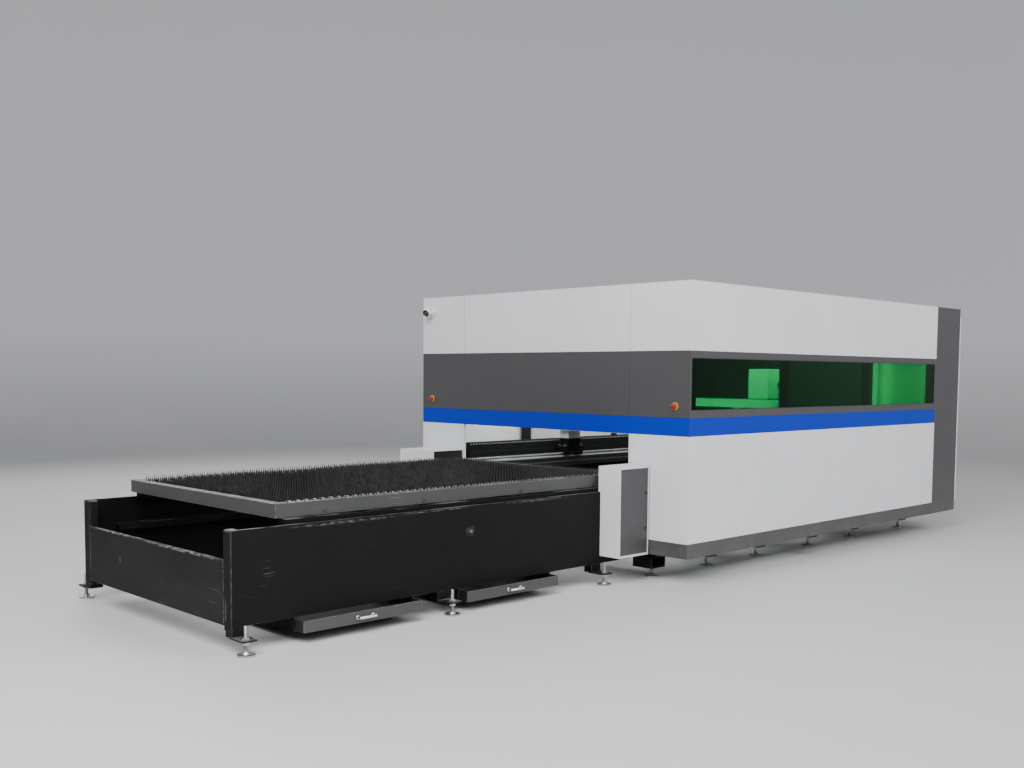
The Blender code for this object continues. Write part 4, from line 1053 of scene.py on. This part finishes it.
# %% Locks, and the box doors
def locks(disc_piece, slit_shade_piece, places, axis, material, body):
    """Quarter-turn locks: their turned discs, and their slits as upright near-black bars of painted shade.
    """
    outline = [(0.0125, 0.0), (0.0125, 0.0022), (0.0112, 0.0034), (0.0, 0.0034)]
    turned(disc_piece, outline, places, axis, 28, material, body)
    half = Vector((0.0012, 0.0012, 0.0075))
    middles = [Vector(place) + Vector(axis) * 0.0032 for place in places]
    slit_shades = [(middle - half, middle + half * 0.999) for middle in middles]
    blocks(slit_shade_piece, slit_shades, rubber, body)


box_door_x0, box_door_x1, fold = front - 0.3312, front - 0.0285, 0.0030
for box_name, sign, face in (("control_box", -1, 1.141), ("gas_box", 1, 1.389)):
    body, y = f"{box_name}_door", sign * face
    places = [(front - 0.046, y, z) for z in (0.40, 0.66)]
    locks(f"{box_name}_locks", f"{box_name}_lock_slots", places, (0, sign, 0), oiled, body)
    folds = [((box_door_x0, y - 0.0010, z), (box_door_x1, y + 0.0006, z + fold)) for z in (0.2205, 0.8365)]
    blocks(f"{box_name}_door_folds", folds, grey, body)
    print(box_name, len(places), "locks")

# %% [markdown]
# ## The gantry and the head
# The beam carries a cable tray and the carriage with the cutting head. The head is a slim housing with a
# turned lower end: a sensor ring, a ceramic and a copper nozzle. A fibre in a ribbed sleeve enters at the
# top. The solid of the head only gives its size, so the finer head takes its place on the same body.

# %% The cutting head
head_x = gantry_x + 0.1345 + 0.0405 + 0.047
head_y = -0.927


def head_part(name, outline, sides, material):
    """A turned part of the head, with its heights above the floor."""
    turned(name, outline, [(head_x, head_y, 0.0)], (0, 0, 1), sides, material, "cutting_head")


def make_head():
    case = bmesh.new()
    add_block(case, (head_x - 0.0465, head_y - 0.0395, 1.0305), (head_x + 0.0345, head_y + 0.0395, 1.2195),
              0.006, 3)
    add_block(case, (head_x - 0.030, head_y - 0.034, 1.000), (head_x + 0.032, head_y + 0.034, 1.0310), 0.003)
    made = keep("cutting_head_case", case, shell_white, "cutting_head")
    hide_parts("cutting_head")
    head_part("cutting_head_lower", [
        (0.0, 1.001), (0.0335, 1.001), (0.0335, 0.985), (0.0320, 0.982), (0.0320, 0.968), (0.0345, 0.966),
        (0.0345, 0.952), (0.0280, 0.948), (0.0280, 0.926), (0.0, 0.926)], 40, steel)
    head_part("cutting_head_sensor", [
        (0.0, 0.927), (0.0250, 0.927), (0.0250, 0.915), (0.0200, 0.903), (0.0, 0.903)], 36, oiled)
    head_part("cutting_head_nozzle", [
        (0.0, 0.904), (0.0150, 0.904), (0.0150, 0.892), (0.0125, 0.889), (0.0125, 0.884), (0.0042, 0.8705),
        (0.0, 0.8705)], 32, copper)
    sleeve = [(0.0, 1.2190), (0.0240, 1.2190), (0.0240, 1.2250)]
    for n in range(3):
        z = 1.2260 + 0.0045 * n
        sleeve += [(0.0190, z), (0.0215, z + 0.0015), (0.0190, z + 0.0030)]
    head_part("cutting_head_sleeve", sleeve + [(0.0, 1.2395)], 32, rubber)
    print("cutting head at", round(head_x, 4), head_y)


make_head()

# %% Beam rails, rack and cable gland
rail_x, rail_half, rack_half = gantry_x + 0.120, 1.1495, 1.120
strips = [((rail_x + 0.0137, -rail_half, z), (rail_x + 0.0143, rail_half, z + 0.004))
          for rail_z in (1.020, 1.140) for z in (rail_z + 0.004, rail_z + 0.022)]
blocks("beam_rail_edges", strips, steel, "gantry")
plates = [((gantry_x + 0.1195, -rack_half, z), (gantry_x + 0.1275, rack_half, z + 0.010))
          for z in (1.075, 1.090)]
blocks("beam_rack", plates, oiled, "gantry", 0.001)
gland = [(0.0, 0.0), (0.014, 0.0), (0.014, 0.006), (0.010, 0.008), (0.010, 0.014), (0.0, 0.014)]
turned("head_cover_gland", gland, [(gantry_x + 0.290, -1.1255, 1.455)], (0, -1, 0), 24, rubber,
       "head_carriage")
print(len(strips), "bright edges on the beam")

# %% The cable run in the tray
tray_path = [(gantry_x + 0.060, y, 1.2800) for y in evenly(-1.290, 1.290, 3)]


def cross_links(g, given):
    high, wide, pitch = given["Height"], given["Width"], given["Pitch"]
    parts = [g.bar((0.004, pitch * 0.88, high), (sign * (wide * 0.5), 0.0, 0.0)) for sign in (-1, 1)]
    parts += [g.bar((wide, pitch * 0.45, high * 0.09), (0.0, 0.0, high * z)) for z in (-0.45, 0.45)]
    return g.copies(g.along(given["Spots"], pitch), g.joined(*parts))


sizes = {"Height": 0.0360, "Width": 0.0900, "Pitch": 0.0300}
grow("tray_cable_chain", sizes, cross_links, chain_plastic, "gantry",
     spots=tray_path, path=True)

# %% Screws of the gantry and the head
spots = [(gantry_x + dx, y, 0.845) for dx in (-0.115, 0.115) for y in (-0.955, 0.955, -1.025, 1.025)]
screws("carriage_screws", spots, upward, "gantry", 0.008, zinc)
spots = [(gantry_x + 0.175, y, z) for y in (-1.130, -0.890) for z in (0.985, 1.080, 1.180, 1.280)]
screws("head_plate_screws", spots, backward, "head_carriage", 0.006, zinc)
spots = [(head_x + 0.0345, head_y + dy, z) for dy in (-0.030, 0.030) for z in (1.045, 1.205)]
screws("head_case_screws", spots, backward, "cutting_head", 0.004, oiled)

# %% [markdown]
# ## Guards, legs, grips and weld beads
# What is left on the near side is small work of a welder. Black guard plates line the sides of the two boxes
# where the pallet passes. A rectangular tube with an open end carries the first pair of feet. The slag trays
# have round steel grips. Weld beads join the table's plates: a bead is a row of flat, overlapping drops.

# %% Guards and legs
guards, tubes, shade_backs = [], [], []
x0, x1, wall = front + 0.048, front + 0.210, 0.007
for sign in (-1, 1):
    y0, y1 = sorted((sign * 0.9310, sign * 0.9337))
    guards.append(((front - 0.3385, y0, 0.6745), (front - 0.0175, y1, 0.8595)))
    y0, y1 = sorted((sign * 1.1320, sign * 0.9480))
    tubes += [((x0, y0, 0.0785), (x1, y1, 0.0860)), ((x0, y0, 0.1590), (x1, y1, 0.1660)),
              ((x0, y0, 0.0790), (x0 + wall, y1, 0.1655)), ((x1 - wall, y0, 0.0790), (x1, y1, 0.1655))]
    # A near-black plate a little way into each tube paints the shade in its open end.
    y0, y1 = sorted((sign * 1.1010, sign * 1.0970))
    shade_backs.append(((x0 + 0.001, y0, 0.0795), (x1 - 0.001, y1, 0.1650)))
blocks("box_guards", guards, machine_grey, "machine", 0.0010, 1)
blocks("bed_leg_tubes", tubes, table_black, "machine", 0.0015, 1)
blocks("bed_leg_shade_backs", shade_backs, tube_shade_black, "machine")
print("leg tubes", round(x1 - x0, 3), "wide")

# %% Grips of the slag trays
grip_length = 0.122
grip_outline = [(0.0, 0.0), (0.0086, 0.0), (0.0092, 0.002), (0.0092, 0.120), (0.0086, grip_length),
                (0.0, grip_length)]
grip_foot = [(0.0, 0.0), (0.0135, 0.0), (0.0120, 0.0025), (0.0, 0.0025)]
for n in (1, 2):
    low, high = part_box(f"slag_tray_{n}")
    middle, line = (low.x + high.x) / 2, (low.z + high.z) / 2
    grips = bmesh.new()
    add_turned(grips, grip_outline, (middle - 0.061, low.y + 0.0060, line), (1, 0, 0), 20)
    for x in (middle - 0.0540, middle + 0.0540):
        add_turned(grips, grip_foot, (x, low.y + 0.0300, line), (0, -1, 0), 20)
    keep(f"slag_tray_{n}_grip", grips, bright, f"slag_tray_{n}", smooth=True)
    print("grip of tray", n, "at", round(middle, 3))


# %% Weld beads
def weld_bead(g, given):
    drop = g.add("GeometryNodeMeshIcoSphere", {}, {"Radius": given["Width"] * 0.5, "Subdivisions": 1})
    uneven = g.add("FunctionNodeRandomValue", {"data_type": "FLOAT"}, {2: 0.82, 3: 1.12, "Seed": 7}, 1)
    return g.copies(g.along(given["Spots"], given["Step"]), drop, scale=uneven)


def bead(name, spots, body="machine", material=table_black, width=0.007):
    sizes = {"Width": width, "Step": width * 0.45}
    grow(name, sizes, weld_bead, material, body, smooth=True, spots=spots, path=True)


for side_name, sign in both_sides:
    spots = [(table_end + 0.0015, sign * 0.8655, z) for z in (0.150, 0.330, 0.505)]
    bead(f"end_wall_weld_{side_name}", spots)
    spots = [(table_end + 0.0605, sign * 0.9325, z) for z in (0.510, 0.590, 0.668)]
    bead(f"post_weld_{side_name}", spots)
    for name, body, start, drop in pallets:
        spots = [(start + 0.0015, sign * 0.905, z - drop) for z in (0.716, 0.740, 0.765, 0.792)]
        bead(f"{body}_corner_weld_{side_name}", spots, body, pallet_grey, 0.005)

# %% [markdown]
# ## The back
# The electrical cabinet fills the back. Two tall doors hang on hinges at the outer edges, with a long handle
# beside the gap in the middle, a lock above it, and rows of louvres low and high for the cooling air. A
# louvre is pressed out of the sheet: half a flat cylinder with closed ends, repeated down the door.

# %% Louvres
cabinet_face = 4.0268


def louvres(g, given):
    hood = g.moved(g.cylinder(12, 1.0, 1.0), turn=lying)
    hood = g.moved(hood, scale=(given["Depth"], given["Width"], given["Height"]))
    fields = []
    for z in (0.56, 1.84):
        start = (given["Face"], given["Middle"], z)
        fields.append(g.row(given["Count"], start, (0.0, 0.0, given["Pitch"]), hood))
    return g.joined(*fields)


for side_name, sign in both_sides:
    sizes = {"Face": cabinet_face, "Middle": sign * 0.42, "Width": 0.36, "Depth": 0.0060,
             "Height": 0.0075, "Pitch": 0.022, "Count": 8}
    grow(f"cabinet_louvres_{side_name}", sizes, louvres, white, f"cabinet_door_{side_name}",
         smooth=True)

# %% Handle plates, locks, seals and hinges of the cabinet
for side_name, sign in both_sides:
    body, y = f"cabinet_door_{side_name}", sign * 0.0625
    plate = [((cabinet_face, y - 0.019, 1.120), (4.0300, y + 0.019, 1.380))]
    blocks(f"cabinet_handle_plate_{side_name}", plate, oiled, body, 0.0012)
    locks(f"cabinet_lock_{side_name}", f"cabinet_lock_slot_{side_name}", [(4.0270, y, 1.455)], (1, 0, 0),
          zinc, body)
    y0, y1 = sorted((sign * 0.0045, sign * 0.7955))
    seal = [((4.0045, y0, z0), (4.0052, y1, z1)) for z0, z1 in ((0.464, 0.470), (2.070, 2.076))]
    blocks(f"cabinet_door_seal_{side_name}", seal, rubber, body)
    spots = [(4.0262, sign * 0.8096, z) for z in (0.62, 1.27, 1.92)]
    hinges(f"cabinet_hinges_{side_name}", spots, 0.0055, 0.080)

# %% Details of the side doors
side_door_face, hinge_y = 1.4451, 1.4500
handle_foot = [(0.0, 0.0), (0.0125, 0.0), (0.0115, 0.0030), (0.0, 0.0030)]
side_doors = (
    ("front", front + 1.3434, front + 1.893, front + 1.3949, front + 1.900),
    ("rear", front + 2.5506, front + 2.001, front + 1.994, front + 2.4991),
)
for side_name, hinge_x, lock_x, pane_x0, pane_x1 in side_doors:
    body = f"side_door_{side_name}"
    locks(f"side_door_lock_{side_name}", f"side_door_lock_slot_{side_name}",
          [(lock_x, side_door_face, 0.720)], (0, 1, 0), zinc, body)
    places = [(lock_x, side_door_face, z) for z in (0.807, 1.093)]
    turned(f"side_door_handle_feet_{side_name}", handle_foot, places, (0, 1, 0), 24, steel, body)
    spots = [(hinge_x, hinge_y, z) for z in (0.42, 1.00, 1.58)]
    hinges(f"side_door_hinges_{side_name}", spots, 0.0058, 0.090)
    seal = border((pane_x0, 1.4430, pane_low), (pane_x1, 1.4452, pane_high))
    blocks(f"side_door_seal_{side_name}", seal, rubber, body)

# %% [markdown]
# ## Floor and light
# The setting stays plain: a pale floor that curves up behind the machine, one large soft light from above
# left, a weaker one from the right, and an even sky. Lamps inside the cabin light the white parts that are
# seen through the mouth and the green windows.

# %% Floor
floor_sides = 96


def floor_recipe(g):
    tone = g.noise(0.5, 5.0).over(0.3, 0.75)
    near = g.mix(tone, (0.60, 0.60, 0.60), (0.56, 0.56, 0.56))
    return {"Base Color": g.mix(g.axis("Z").over(0.0, 2.5), near, (0.93, 0.93, 0.94)),
            "Roughness": tone * 0.10 + 0.50}


def make_floor():
    """A disc that curves up into a wall all round."""
    bm = bmesh.new()
    curve = [(14.0 + 9.0 * math.sin(a), 9.0 - 9.0 * math.cos(a)) for a in evenly(0.0, math.pi / 2, 14)]
    angles = evenly(0.0, 2 * math.pi, floor_sides + 1)[:-1]
    rings = [[bm.verts.new((r * math.cos(a), r * math.sin(a), z)) for a in angles]
             for r, z in [(4.0, 0.0)] + curve + [(23.0, 14.0)]]
    bm.faces.new(rings[0])
    for lower, upper in zip(rings, rings[1:]):
        for n in range(floor_sides):
            m = (n + 1) % floor_sides
            bm.faces.new((lower[n], lower[m], upper[m], upper[n]))
    bmesh.ops.recalc_face_normals(bm, faces=bm.faces)
    if bm.faces[0].normal.z < 0:
        bmesh.ops.reverse_faces(bm, faces=bm.faces)
    mesh = bpy.data.meshes.new("floor")
    bm.to_mesh(mesh)
    bm.free()
    mesh.shade_smooth()
    mesh.materials.append(finish("pale floor", floor_recipe))
    made = bpy.data.objects.new("floor", mesh)
    bpy.context.scene.collection.objects.link(made)
    made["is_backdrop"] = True
    print("floor", len(mesh.polygons), "faces")


make_floor()

# %% Lights
def area_light(name, place, target, size, power):
    light = bpy.data.lights.new(name, "AREA")
    light.shape = "RECTANGLE"
    light.size, light.size_y = size
    light.energy = power
    made = bpy.data.objects.new(name, light)
    bpy.context.scene.collection.objects.link(made)
    made.location = place
    made.rotation_euler = (Vector(target) - Vector(place)).to_track_quat("-Z", "Y").to_euler()


area_light("key", (-7.0, -4.0, 7.0), (0.0, 0.0, 0.8), (7.0, 7.0), 1220.0)
area_light("fill", (3.0, -9.0, 6.0), (1.0, 0.0, 0.6), (8.0, 5.0), 620.0)
area_light("far", (0.0, 9.0, 6.0), (0.0, 0.0, 0.8), (8.0, 4.0), 400.0)
for n, (x, power) in enumerate(((0.2, 16.0), (1.6, 14.0), (2.9, 5.0))):
    area_light(f"inside_{n}", (x, -0.2, 2.04), (x, 0.0, 0.0), (1.2, 1.6), power)
area_light("inside_front", (-0.38, -0.55, 1.95), (0.80, -0.95, 1.35), (1.2, 0.20), 9.5)
area_light("inside_near", (0.45, -1.10, 1.98), (0.95, -1.08, 1.40), (0.1, 0.30), 5.0)
area_light("inside_cover", (1.02, -1.43, 1.90), (1.02, -1.13, 1.42), (0.30, 0.05), 5.5)
area_light("inside_far", (0.40, 0.72, 1.95), (0.60, 1.44, 1.00), (2.2, 0.15), 24.0)
world = bpy.data.worlds.new("sky")
world.use_nodes = True
sky = world.node_tree.nodes["Background"].inputs
sky["Color"].default_value = (0.80, 0.82, 0.85, 1.0)
sky["Strength"].default_value = 0.38
bpy.context.scene.world = world
print(len(bpy.data.lights), "lights")

# %% Measure and finish
low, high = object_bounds()
sizes = {"cad": [list(cad_low), list(cad_high)], "visual": [list(low), list(high)]}
print("box grew by", [round(v, 4) for v in (high - low) - (cad_high - cad_low)])
